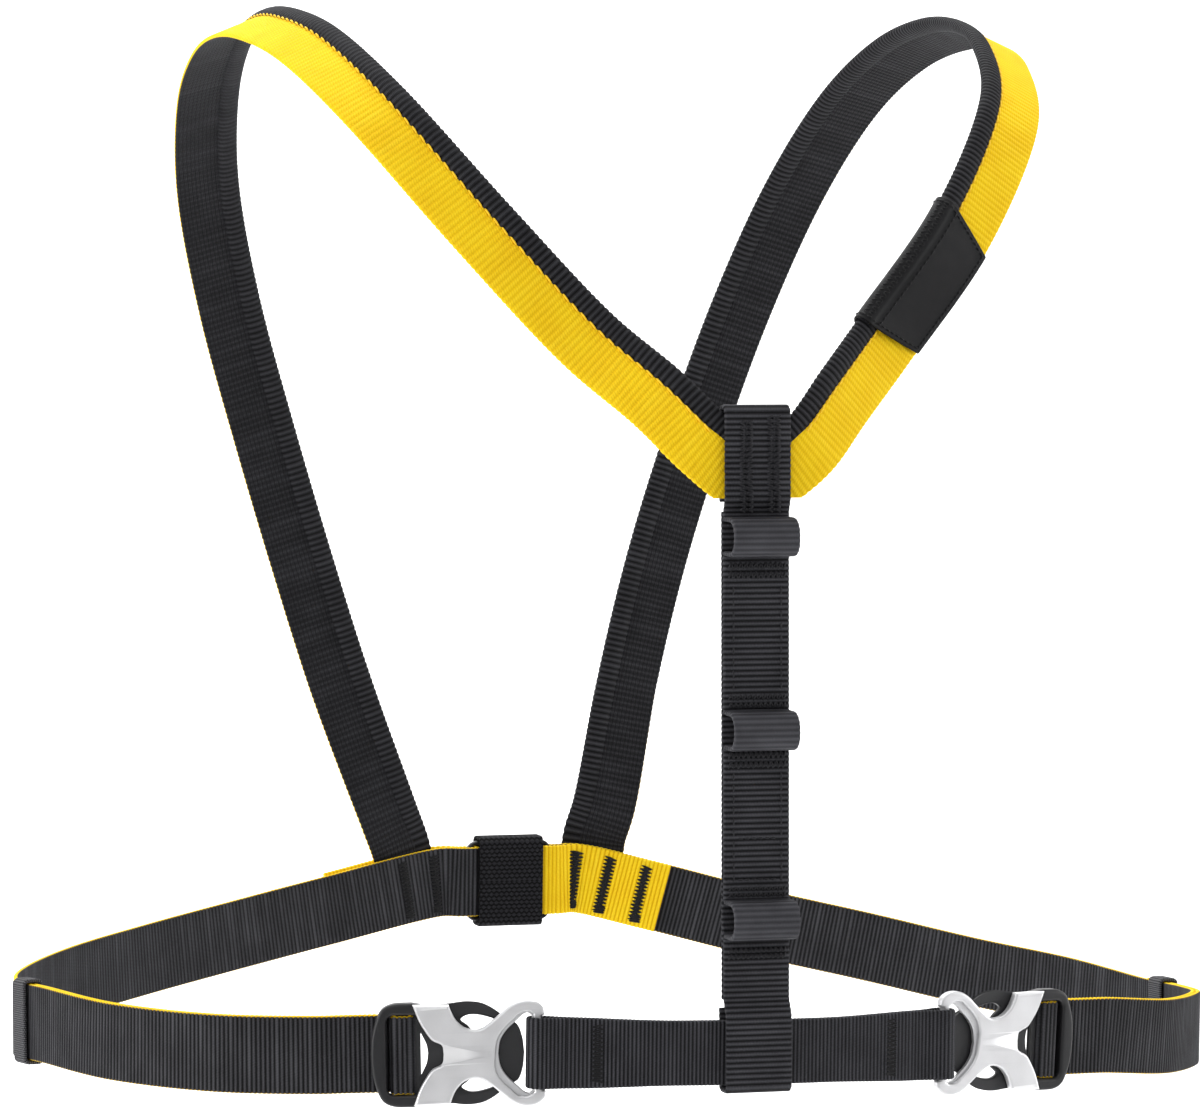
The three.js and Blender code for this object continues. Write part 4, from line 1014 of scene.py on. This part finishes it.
def castMaterial(name):
    # satin cast aluminium: fine blasted grain, faint clouding, and a painted highlight along its edges
    fixed = {"Metallic": 0.65, "Specular IOR Level": 0.5}
    material, tree, shader = newMaterial(name, fixed)
    place = addNode(tree, "ShaderNodeTexCoord").outputs["Object"]
    grain = noise(tree, place, 3600.0, 3.0, 0.6)
    cloud = noise(tree, place, 160.0, 3.0, 0.55)
    tone = blendColours(tree, cloud, colour(196, 196, 198), colour(212, 212, 214))
    tone = blendColours(tree, maths(tree, "MULTIPLY", grain, 0.35), tone, colour(176, 176, 178))
    # painted highlight: the outer edges are lightened towards near white
    edge = addNode(tree, "ShaderNodeAttribute", attribute_name="edge").outputs["Fac"]
    tone = blendColours(tree, ramp(tree, edge, 0.1, 0.4, 0.0, 0.8), tone, colour(240, 240, 241))
    tree.links.new(tone, shader.inputs["Base Color"])
    tree.links.new(ramp(tree, cloud, 0.25, 0.75, 0.34, 0.46), shader.inputs["Roughness"])
    setBump(tree, shader, grain, 0.00004, 0.7)
    return material


blackPlastic = plasticMaterial(
    "moulded black plastic", (colour(24, 24, 26), colour(30, 30, 32), colour(58, 58, 60)), 0.4)
castAluminium = castMaterial("cast aluminium")

# the adjuster's corners peep out of both sides of its sleeve
adjuster = {"corner": 4.5, "bevel": 0.9, "halfSlot": 1.3, "slotRoom": 0.4}
w, h = back["adjusterLength"] / 2, back["adjusterHeight"] / 2
r = adjuster["corner"]
rim = roundedPath([[0, -h], [w, -h, r], [w, h, r], [-w, h, r], [-w, -h, r], [0, -h]], 2)[:-1]
tall = harness["beltWidth"] / 2 + adjuster["slotRoom"]
slotAt = w - back["bar"]
corners = np.array(((-1, -1), (1, -1), (1, 1), (-1, 1))) * (adjuster["halfSlot"], tall)
gates = [corners + (x, 0) for x in (-slotAt, slotAt)]
halfThick = back["adjusterThickness"] / 2
plate = platePiece("adjuster_plate", [rim, *gates], -halfThick, halfThick, adjuster["bevel"])
middle = beltLines["left"]["place"](np.array([beltLines["left"]["back"]]))[0] * 0.001
turned = Matrix(((1, 0, 0), (0, 0, -1), (0, 1, 0))).to_4x4()
plate.matrix_world = Matrix.Translation(Vector(middle)) @ turned
finishPiece(plate, "back_adjuster", blackPlastic, 40)
evenShading(plate)

# Buckle outlines seen from in front, top half, in millimetres from the waist: x towards the
# ring, y up. The ears' corners stay sharp and the rest is smooth
hookEar = [(-20.2, 16.1), (-8.7, 15.8)]
hookArm = [
    (-8.7, 15.8), (-8.0, 13.9), (-6.6, 11.1), (-4.1, 8.7), (-1.2, 7.8), (1.3, 8.1), (4.4, 10.1),
    (7.3, 12.5), (10.1, 14.9), (13.2, 16.5), (16.3, 16.9), (19.1, 16.2), (21.2, 14.4), (21.6, 12.6),
]
hookWaist = [(-10.5, 0), (-11.0, 2.9), (-14.1, 4.6), (-16.5, 7.8), (-18.2, 10.8), (-20.2, 16.1)]
ringHole = [(6.8, 0), (7.5, 4.2), (9.5, 7.4), (12.3, 10.0), (15.2, 12.5), (16.9, 12.9)]
ringBarRun = [(17.9, 12.2), (18.1, 0)]
metal = {"bevel": 0.85, "lipBevel": 0.45, "lipDrop": 1.2, "lipReach": (0.9, 2.1), "barEdge": 20.4,
         "facetDepth": 1.25, "facetTip": 3.0, "facetWide": 3.9, "facetEnd": -14, "facetPoint": 0.7}
frameRim = [(-33.5, 0), (-33.1, 5.8), (-31.6, 11.4), (-29.7, 14.8), (-26.6, 16.3), (-20.4, 16.6)]
loopRim = [
    (-19.6, 0), (-19.6, 14.6), (-9.0, 15.2), (-3.0, 15.8), (1.3, 15.3), (4.4, 13.9), (7.7, 11.6),
    (10.7, 9.5), (12.6, 8.3), (14.0, 4.6), (14.5, 0),
]
loopHole = [
    (-4.9, 10.7), (-3.6, 11.8), (-1.5, 12.3), (2.6, 11.7), (6.3, 10.0), (4.4, 6.9), (-0.4, 6.6), (-2.8, 8.9),
]
lensHole = [(-18.2, 0), (-18.2, 9.0), (-16.7, 6.2), (-15.3, 3.2), (-14.8, 0)]
mould = {"bevel": 1.0, "loopBevel": 0.55, "window": (-28.6, 12.7), "railEnd": -14.2,
         "railTop": 15.4, "barHalf": 14.4}


def smoothRun(rows, perSpan=5):
    return splineThrough(np.asarray(rows, float), perSpan)


def grown(ring, reach):
    # a closed outline moved outwards by reach at each point
    ahead, behind = np.roll(ring, -1, 0), np.roll(ring, 1, 0)
    direction = unit(ahead - behind)
    normal = np.stack([direction[:, 1], -direction[:, 0]], -1)
    inward = ((ring - ring.mean(0)) * normal).sum(-1).mean() < 0
    return ring + normal * (-1 if inward else 1) * np.reshape(reach, (-1, 1))


def buckleMatrix(hand):
    # a proper turn for both hands: the right buckle is the left one turned half round
    along, out, waist = buckleFrame(hand)
    away = -along
    up = np.cross(out, away)
    spot = (waist - out * hookMiddle) * 0.001
    made = Matrix((away, up, out)).transposed().to_4x4()
    made.translation = spot
    return made


def hookPiece(hand):
    low, high = hookMiddle - buckle["hookThickness"] / 2, hookMiddle + buckle["hookThickness"] / 2
    arm = smoothRun(hookArm)
    corner = smoothRun([(21.6, 12.6), (21.2, 11.9), (metal["barEdge"], 11.6), (metal["barEdge"], 6)], 4)
    waist = smoothRun(hookWaist)
    half = np.vstack([waist, hookEar[1:], arm[1:], corner[1:]])
    rim = bothHalves(half)
    hole = bothHalves(np.vstack([smoothRun(ringHole), smoothRun([(16.9, 12.9), *ringBarRun[:1]], 2)[1:],
                                 ringBarRun[1:]]))
    # past the ring's left stretch the main plate stands back and a lower lip fills in
    lower = np.clip(-hole[:, 1] / 6, 0, 1)
    left = np.clip((17 - hole[:, 0]) / 3, 0, 1)
    reach = (metal["lipReach"][0] + (metal["lipReach"][1] - metal["lipReach"][0]) * lower) * left
    opening = grown(hole, reach)
    opening[:, 0] = np.minimum(opening[:, 0], 18.1)
    plate = platePiece(f"{hand}_hook", [rim, opening], low, high, metal["bevel"])
    lip = platePiece("lip", [grown(hole, reach + 1.4 * left), hole], low + 0.15,
                     high - metal["lipDrop"], metal["lipBevel"])
    tip, wide, sink = metal["facetTip"], metal["facetWide"], metal["facetDepth"]
    end, point = metal["facetEnd"], metal["facetPoint"]
    corners = [(end, wide), (end, -wide), (tip, -point), (tip, point)]
    heights = [high - sink, high - sink, high + 0.02, high + 0.02]
    spots = [(x, y, z) for (x, y), z in zip(corners, heights)]
    spots += [(x, y, high + 4) for x, y in corners]
    faces = [(0, 1, 2, 3), (7, 6, 5, 4), (0, 4, 5, 1), (1, 5, 6, 2), (2, 6, 7, 3), (3, 7, 4, 0)]
    wedge = meshPiece("wedge", spots, faces)
    cutAway(plate, wedge)
    hook = joined([plate, lip])
    hook.matrix_world = buckleMatrix(hand)
    finishPiece(hook, f"{hand}_buckle_hook", castAluminium, 32)
    evenShading(hook)


def framePiece(hand):
    low = frameBack
    left, tall = mould["window"]
    rimRun = smoothRun(frameRim)
    tip = mould["railEnd"]
    corner = [(left + 2, tall), (left + 0.7, tall - 0.6), (left, tall - 2)]
    inside = [(tip, mould["railTop"]), (tip, tall)] + corner
    rim = bothHalves(np.vstack([rimRun, inside]))
    ladder = platePiece(f"{hand}_frame", [rim], low, low + buckle["frameThickness"], mould["bevel"])
    plateRim = bothHalves(np.vstack([loopRim[:1], smoothRun(loopRim[1:])]))
    hole = closedSpline(loopHole, 4)
    lens = bothHalves(np.vstack([lensHole[:2], smoothRun(lensHole[1:])[1:]]))
    loop = platePiece("loop", [plateRim, hole, hole * (1, -1), lens], low,
                      low + buckle["loopPlate"], mould["loopBevel"])
    middle = (outerSlot + innerSlot) / 2
    half = (outerSlot - innerSlot - buckle["slot"] - buckle["barSlack"]) / 2
    tall = mould["barHalf"]
    bar = [(-middle - half, -tall), (-middle + half, -tall), (-middle + half, tall), (-middle - half, tall)]
    bar = platePiece("bar", [bar], low + 0.5, barTop, 0.6)
    whole = joined([ladder, loop, bar])
    whole.matrix_world = buckleMatrix(hand)
    finishPiece(whole, f"{hand}_buckle_frame", blackPlastic, 32)
    evenShading(whole)


for hand in handSign:
    hookPiece(hand)
    framePiece(hand)
print("buckles made")


# Label patch: a thin wrap over the outside of the right strap and round its tubular edge.
# Its two ends spread towards the tube: past is how far each end moves, at the webbing's outer
# edge and at the tube
patch = {"at": 0.157, "length": 45, "wall": 0.9, "room": 0.35, "steps": 90, "seam": 1.6,
         "groove": 0.3, "faceSteps": 14, "rollSteps": 22,
         "past": {"low": (1.0, -5.5), "high": (-2.5, 4.5)}}


def patchProfile(away):
    # the flat face leans up from the webbing's edge on to the tube, and the roll goes round it
    w, t = shoulder["tubeWidth"] / 2 + away, shoulder["tubeThickness"] / 2 + away
    level, edge = shoulder["web"] / 2 + away, strapWidth / 2
    first = math.acos(patch["seam"] / w)
    top = t * math.sin(first)
    rows = []
    for k in range(patch["faceSteps"] + 1):
        share = k / patch["faceSteps"]
        rows.append((edge + (tubeMiddle + patch["seam"] - edge) * share, level + (top - level) * share))
    for k in range(1, patch["rollSteps"] + 1):
        angle = first + (math.pi * 1.5 - first) * k / patch["rollSteps"]
        sunk = patch["groove"] if k == 1 else 0
        rows.append((tubeMiddle + (w - sunk) * math.cos(angle), (t - sunk) * math.sin(angle)))
    return np.array(rows)


def labelMaterial(name):
    # a smooth coated label: fine cross grain, soft sheen and a faint handled unevenness
    fixed = {"Specular IOR Level": 0.14, "Sheen Weight": 0.0, "Sheen Roughness": 0.3,
             "Coat Roughness": 0.45, "Coat Weight": 0.03}
    material, tree, shader = newMaterial(name, fixed)
    uv = addNode(tree, "ShaderNodeUVMap", uv_map="strap").outputs[0]
    split = addNode(tree, "ShaderNodeSeparateXYZ", {0: uv})
    warp = maths(tree, "SINE", maths(tree, "MULTIPLY", split.outputs[0], 14.0))
    weft = maths(tree, "SINE", maths(tree, "MULTIPLY", split.outputs[1], 14.0))
    weave = maths(tree, "MULTIPLY", warp, weft)
    cloud = noise(tree, uv, 0.25, 3.0)
    tone = blendColours(tree, cloud, colour(15, 15, 17), colour(24, 24, 26))
    tone = blendColours(tree, ramp(tree, weave, -1.0, 1.0, 0.0, 0.35), tone, colour(10, 10, 11))
    tree.links.new(tone, shader.inputs["Base Color"])
    tree.links.new(ramp(tree, cloud, 0.2, 0.8, 0.42, 0.56), shader.inputs["Roughness"])
    setBump(tree, shader, maths(tree, "MULTIPLY_ADD", cloud, 1.5, weave), 0.00005, 0.6)
    return material


patchRoute = shoulderRoutes["right"]
patchFirst = patch["at"] * patchRoute["at"][-1] - patch["length"] / 2
outer = patchProfile(patch["room"] + patch["wall"])
inner = patchProfile(patch["room"])[::-1]
profile = np.vstack([outer, inner])


def patchPoints(u, v):
    # points on the patch: u is 0 to 1 along it, v is a row of the profile as x, y
    share = np.clip((strapWidth / 2 - v[:, 0]) / (strapWidth / 2 - tubeMiddle), 0, 1)
    ends = [np.interp(share, (0, 1), patch["past"][key]) for key in ("low", "high")]
    s = patchFirst + ends[0] + u * (patch["length"] + ends[1] - ends[0])
    at = routeAt(patchRoute, s)
    return at["point"] + at["side"] * v[:, :1] + at["normal"] * v[:, 1:], at


shares = np.linspace(0, 1, patch["steps"] + 1)
places = patchFirst + shares * patch["length"]
sections = np.stack([patchPoints(share, profile)[0] for share in shares])
around = measured(np.vstack([profile, profile[:1]]))
label = rolledGrid("label_patch", sections, places, around, np.repeat((1.0, -1.0), len(outer)))
bpy.context.view_layer.objects.active = label
soft = label.modifiers.new("soft edge", "BEVEL")
soft.width, soft.segments, soft.limit_method = 0.00028, 2, "ANGLE"
soft.angle_limit = math.radians(55)
bpy.ops.object.modifier_apply(modifier=soft.name)
finishPiece(label, "shoulder_label_patch", labelMaterial("label patch"), 50)
print("label patch made")


# Stitching: one lump of thread with few faces, copied to every stitch
def threadMaterial(name, base, bright):
    material, tree, shader = newMaterial(name, {"Roughness": 0.55, "Specular IOR Level": 0.2})
    place = addNode(tree, "ShaderNodeTexCoord").outputs["Object"]
    ply = noise(tree, place, 2600.0, 2.0)
    tree.links.new(blendColours(tree, ply, base, bright), shader.inputs["Base Color"])
    setBump(tree, shader, ply, 0.00008, 0.8)
    return material


blackThread = threadMaterial("black thread", colour(4, 4, 5), colour(24, 24, 26))
# painted highlight: a lighter copy of the black thread, so the centre strap's stitches look lit
paintedHighlightThread = threadMaterial("black thread lightened as painted highlight", colour(9, 9, 10), colour(50, 50, 54))
yellowThread = threadMaterial("yellow thread", colour(232, 176, 4), colour(252, 214, 60))


def stitchPiece(name, stitches, radius, material, sides=6):
    # each stitch is a start, an end and an outward direction
    stitches = np.asarray(stitches, float)
    start, end, out = stitches[:, 0], stitches[:, 1], unit(stitches[:, 2])
    share, girth, lift = np.array((
        (0, 0.45, -0.8), (0.14, 0.9, 0.0), (0.5, 1.0, 0.5), (0.86, 0.9, 0.0), (1, 0.45, -0.8),
    )).T
    along = end - start
    beside = unit(np.cross(out, along))
    upward = unit(np.cross(along, beside))
    centres = start[:, None] + along[:, None] * share[None, :, None]
    centres = centres + upward[:, None] * (lift * radius)[None, :, None]
    turn = 2 * math.pi * np.arange(sides) / sides
    ring = beside[:, None] * np.cos(turn)[:, None] + upward[:, None] * np.sin(turn)[:, None]
    spots = centres[:, :, None] + ring[:, None] * (girth * radius)[None, :, None, None]
    rings = len(share)
    faces = []
    for k in range(len(stitches)):
        first = k * rings * sides
        for row in range(rings - 1):
            a = first + row * sides
            faces += [(a + j, a + (j + 1) % sides, a + sides + (j + 1) % sides, a + sides + j)
                      for j in range(sides)]
        last = first + (rings - 1) * sides
        faces += [tuple(range(first, first + sides)), tuple(range(last, last + sides))]
    piece = meshPiece(name, spots, faces)
    return finishPiece(piece, None, material, 80)


def beltSurface(hand, s, away):
    # u is up the belt and v along it, on the belt's inside
    def spot(u, v):
        line = beltLines[hand]
        point = line["place"](np.array([s + v]), away, u)[0]
        return point, -line["frameAt"](np.array([s + v]))[1][0]

    return spot


def centreSurface(out, upright):
    # u runs down the strap when upright is true, otherwise across it
    def spot(u, v):
        down, across = (u, v) if upright else (v, u)
        return centrePlace(np.array(down), out) + np.array((across, 0, 0)), np.array((0, -1.0, 0))

    return spot


def bandSurface(x):
    def spot(u, v):
        point = bandPlace(np.array([x + v]), layer + web / 2)[0]
        ahead = bandPlace(np.array([x + v + 1]), layer + web / 2)[0]
        return point + skyward * u, np.cross(unit(ahead - point), -skyward)

    return spot


def zigzag(spot, first, last, middle, width, pitch, seed):
    rng = np.random.default_rng(seed)
    count = max(2, round(abs(last - first) / pitch))
    rows = []
    for k in range(count):
        u = first + (last - first) * np.array((k, k + 1)) / count
        swing = width / 2 * (1 if k % 2 else -1)
        slip = rng.uniform(-0.16, 0.16, 2)
        a, out = spot(u[0], middle - swing + slip[0])
        b = spot(u[1], middle + swing + slip[1])[0]
        rows.append((a, b, out))
    return rows


def dashes(spot, first, last, middle, pitch, length):
    count = max(2, round(abs(last - first) / pitch))
    rows = []
    for k in range(count):
        u = first + (last - first) * (k + 0.5) / count
        a, out = spot(u - length / 2, middle)
        b = spot(u + length / 2, middle)[0]
        rows.append((a, b, out))
    return rows


# behind is the distance from the adjuster's middle, and lift how far the tack stands off the
# belt's inside. Each tack is a wide zigzag, a narrow one within it and a lock at its foot
backTacks = [
    {"hand": "right", "behind": 24.6, "lift": 0.4, "width": 3.8},
    {"hand": "right", "behind": 36.4, "lift": 0.05, "width": 3.8},
    {"hand": "right", "behind": 49.7, "lift": 0.05, "width": 3.6},
    {"hand": "left", "behind": 39.3, "lift": 0.05, "width": 3.0},
    {"hand": "left", "behind": 27.8, "lift": 0.05, "width": 3.0},
]
tackRuns = [
    {"first": -10, "last": 10, "middle": 0, "wider": 0.8, "pitch": 0.66, "seed": 0},
    {"first": -10, "last": 10, "middle": 0, "wider": -1.6, "pitch": 0.45, "seed": 10},
    {"first": -10.6, "last": -8.2, "middle": -0.4, "wider": 0.6, "pitch": 0.4, "seed": 20},
]
rows = []
for number, tack in enumerate(backTacks):
    s = beltLines[tack["hand"]]["back"] - tack["behind"]
    spot = beltSurface(tack["hand"], s, -layer - web / 2 - tack["lift"])
    for run in tackRuns:
        rows += zigzag(spot, run["first"], run["last"], run["middle"],
                       tack["width"] + run["wider"], run["pitch"], number + run["seed"])
stitchPiece("back_bartacks", rows, 0.36, blackThread)

# first and last run down from the top of the centre strap, across is from its middle
capTacks = [{"across": -4.0, "first": 4.8, "last": 34.0}, {"across": 5.2, "first": 3.4, "last": 34.0}]
capTack = {"sides": (-1.3, 1.3), "width": 1.9, "pitch": 0.8, "dashPitch": 1.7, "dash": 1.3}
crossTacks = [(49.5, 55.5), (91.5, 96.5), (109.5, 115.5), (152.8, 156.6), (172.3, 176.2), (190, 194)]
cross = {"half": 9.6, "parts": (-0.25, 0.25), "share": 0.42, "pitch": 0.85}
longSeam = {"runs": [(57, 91), (116, 152)], "across": (-7.9, 8.1), "pitch": 3.7, "length": 2.4}
shortSeam = {"levels": (137.6, 150.7), "half": 6.6, "pitch": 2.2, "length": 1.6}
onCap = centreSurface(capLayer + web / 2, True)
downStrap = centreSurface(layer + web / 2, True)
acrossStrap = centreSurface(layer + web / 2, False)
rows = []
for number, tack in enumerate(capTacks):
    first, last, across = tack["first"], tack["last"], tack["across"]
    for side in capTack["sides"]:
        width, pitch = capTack["width"], capTack["pitch"]
        rows += zigzag(onCap, first, last, across + side, width, pitch, 40 + number)
    rows += dashes(onCap, first, last, across, capTack["dashPitch"], capTack["dash"])
for number, (first, last) in enumerate(crossTacks):
    for part in cross["parts"]:
        level = (first + last) / 2 + part * (last - first)
        width = (last - first) * cross["share"]
        rows += zigzag(acrossStrap, -cross["half"], cross["half"], level, width, cross["pitch"], 60 + number)
for first, last in longSeam["runs"]:
    for across in longSeam["across"]:
        rows += dashes(downStrap, first, last, across, longSeam["pitch"], longSeam["length"])
for level in shortSeam["levels"]:
    half = shortSeam["half"]
    rows += dashes(acrossStrap, -half, half, level, shortSeam["pitch"], shortSeam["length"])
# the centre strap's stitches use the lighter thread as a painted highlight
stitchPiece("centre_stitching", rows, 0.3, paintedHighlightThread)

bandTack = {"at": (-50.6, 48.4), "half": 9.2, "step": 0.3, "width": 3.4, "pitch": 0.7}
rows = []
for x in bandTack["at"]:
    for turn in range(2):
        half = bandTack["half"]
        first = bandTack["step"] * turn - half
        rows += zigzag(bandSurface(x), first, half, 0, bandTack["width"], bandTack["pitch"], 80 + turn)
stitchPiece("band_bartacks", rows, 0.3, blackThread)


def strapSurface(route, across, out):
    # u runs along a shoulder strap and v across it from the given line
    def spot(u, v):
        at = routeAt(route, np.array([u]))
        point = at["point"][0] + at["side"][0] * (across + v) + at["normal"][0] * out
        return point, at["normal"][0]

    return spot


# the edge's yellow picots lap over the tube at every second rib
picots = {"first": 34, "last": 14, "long": 0.8, "over": (0.1, -0.35), "lift": 0.3, "radius": 0.32}
rows = []
for hand in handSign:
    route = shoulderRoutes[hand]
    meets = tubeMiddle + shoulder["tubeWidth"] / 2
    spot = strapSurface(route, meets, shoulder["web"] / 2 + picots["lift"])
    step = shoulder["ribPitch"] * 2
    for k in range(int((route["at"][-1] - picots["first"] - picots["last"]) / step)):
        u = picots["first"] + step * k
        a, out = spot(u, picots["over"][0])
        b = spot(u + step * picots["long"], picots["over"][1])[0]
        rows.append((a, b, out))
stitchPiece("edge_picots", rows, picots["radius"], yellowThread)


def patchSurface(u, v):
    # u runs along the patch and v round its profile from the webbing's outer edge
    travelled = measured(outer)
    rows = np.array([[np.interp(v + step, travelled, outer[:, k]) for k in (0, 1)]
                     for step in (0, 0.5, -0.5)])
    dx, dy = rows[1] - rows[2]
    points, at = patchPoints(u / patch["length"], rows)
    return points[0], unit(at["side"][0] * dy - at["normal"][0] * dx)


def patchAcross(u, v):
    return patchSurface(v, u)


whole, length = measured(outer)[-1], patch["length"]
seamAt = measured(outer)[patch["faceSteps"]]
hem = {"start": 1.2, "edge": 1.4, "end": 1.5, "seam": 0.8, "pitch": 1.9, "length": 1.5,
       "tubeRows": (4.0, 6.0), "tubePitch": 0.95}
rows = []
for v in (hem["edge"], seamAt - hem["seam"]):
    rows += dashes(patchSurface, hem["start"], length - hem["start"], v, hem["pitch"], hem["length"])
for u in (hem["end"], length - hem["end"]):
    rows += dashes(patchAcross, hem["start"], whole - hem["start"], u, hem["pitch"], hem["length"])
for past in hem["tubeRows"]:
    rows += zigzag(patchSurface, 1, length - 1, seamAt + past, hem["pitch"], hem["tubePitch"], 90)
stitchPiece("patch_stitching", rows, 0.3, blackThread)
print("stitching done")


# Floor, light and camera
studio = {"floor": -1.1, "front": -4, "bendAt": 3.0, "bend": 1.4, "top": 5, "half": 6}
profile = [(studio["front"], studio["floor"]), (studio["bendAt"], studio["floor"])]
for k in range(1, 13):
    turn = math.pi / 2 * k / 12
    reach = studio["bend"] * math.sin(turn)
    profile.append((studio["bendAt"] + reach, studio["floor"] + studio["bend"] * (1 - math.cos(turn))))
profile.append((profile[-1][0], studio["top"]))
bpy.ops.mesh.primitive_grid_add(x_subdivisions=1, y_subdivisions=len(profile) - 1, size=2)
backdrop = bpy.context.object
backdrop.name = "studio_backdrop"
for vertex in backdrop.data.vertices:
    row = round((vertex.co.y + 1) / 2 * (len(profile) - 1))
    vertex.co = (vertex.co.x * studio["half"], *profile[row])
bpy.ops.object.shade_smooth()
paper, tree, shader = newMaterial("pale paper", {"Roughness": 0.9, "Specular IOR Level": 0.1})
place = addNode(tree, "ShaderNodeTexCoord").outputs["Object"]
grain = noise(tree, place, 40.0)
tone = blendColours(tree, grain, (0.95, 0.95, 0.95, 1), (0.97, 0.97, 0.97, 1))
tree.links.new(tone, shader.inputs["Base Color"])
backdrop.data.materials.append(paper)

world = bpy.data.worlds.new("soft studio") if not bpy.data.worlds else bpy.data.worlds[0]
bpy.context.scene.world = world
world.use_nodes = True
sky = world.node_tree.nodes["Background"]
sky.inputs["Color"].default_value = (1, 1, 1, 1)
sky.inputs["Strength"].default_value = 0.54

lamps = [
    {"name": "key", "at": (-1.2, -1.8, 1.6), "aim": (0, 0, -0.17), "size": 1.6, "power": 17},
    {"name": "fill", "at": (1.8, -1.4, 0.4), "aim": (0, 0, -0.17), "size": 1.8, "power": 6},
    {"name": "left side", "at": (-1.9, -0.1, -0.1), "aim": (0, 0, -0.2), "size": 1.2, "power": 25},
    {"name": "right side", "at": (1.9, -0.3, -0.1), "aim": (0, 0, -0.2), "size": 1.2, "power": 19},
    {"name": "top", "at": (0.1, 0.2, 2.0), "aim": (0, 0, -0.17), "size": 1.6, "power": 14},
    {"name": "backdrop", "at": (0, 1.4, 2.4), "aim": (0.6, 4.4, -0.2), "size": 2.6, "power": 260},
]
for lamp in lamps:
    bpy.ops.object.light_add(type="AREA", location=lamp["at"])
    light = bpy.context.object
    light.name = lamp["name"]
    light.data.size = lamp["size"]
    light.data.energy = lamp["power"]
    aim = Vector(lamp["aim"]) - Vector(lamp["at"])
    light.rotation_euler = aim.to_track_quat("-Z", "Y").to_euler()

view = {"yaw": -18.29, "rise": 4.22, "away": 2.2052, "target": (-0.0033, 0, -0.177),
        "sensor": 36, "lens": 6525.8 / 1200 * 36, "roll": 0.71}
yaw, rise, roll = (math.radians(view[key]) for key in ("yaw", "rise", "roll"))
behind = Vector((math.sin(yaw) * math.cos(rise), -math.cos(yaw) * math.cos(rise), math.sin(rise)))
level = Vector((math.cos(yaw), math.sin(yaw), 0))
plumb = behind.cross(level)
rightward = math.cos(roll) * level + math.sin(roll) * plumb
upward = -math.sin(roll) * level + math.cos(roll) * plumb
bpy.ops.object.camera_add()
camera = bpy.context.object
camera.data.lens = view["lens"]
camera.data.sensor_width = view["sensor"]
eye = Vector(view["target"]) + behind * view["away"]
turned = Matrix((rightward, upward, behind)).transposed().to_4x4()
camera.matrix_world = Matrix.Translation(eye) @ turned
bpy.context.scene.camera = camera
bpy.context.scene.view_settings.view_transform = "Standard"
print("studio set")
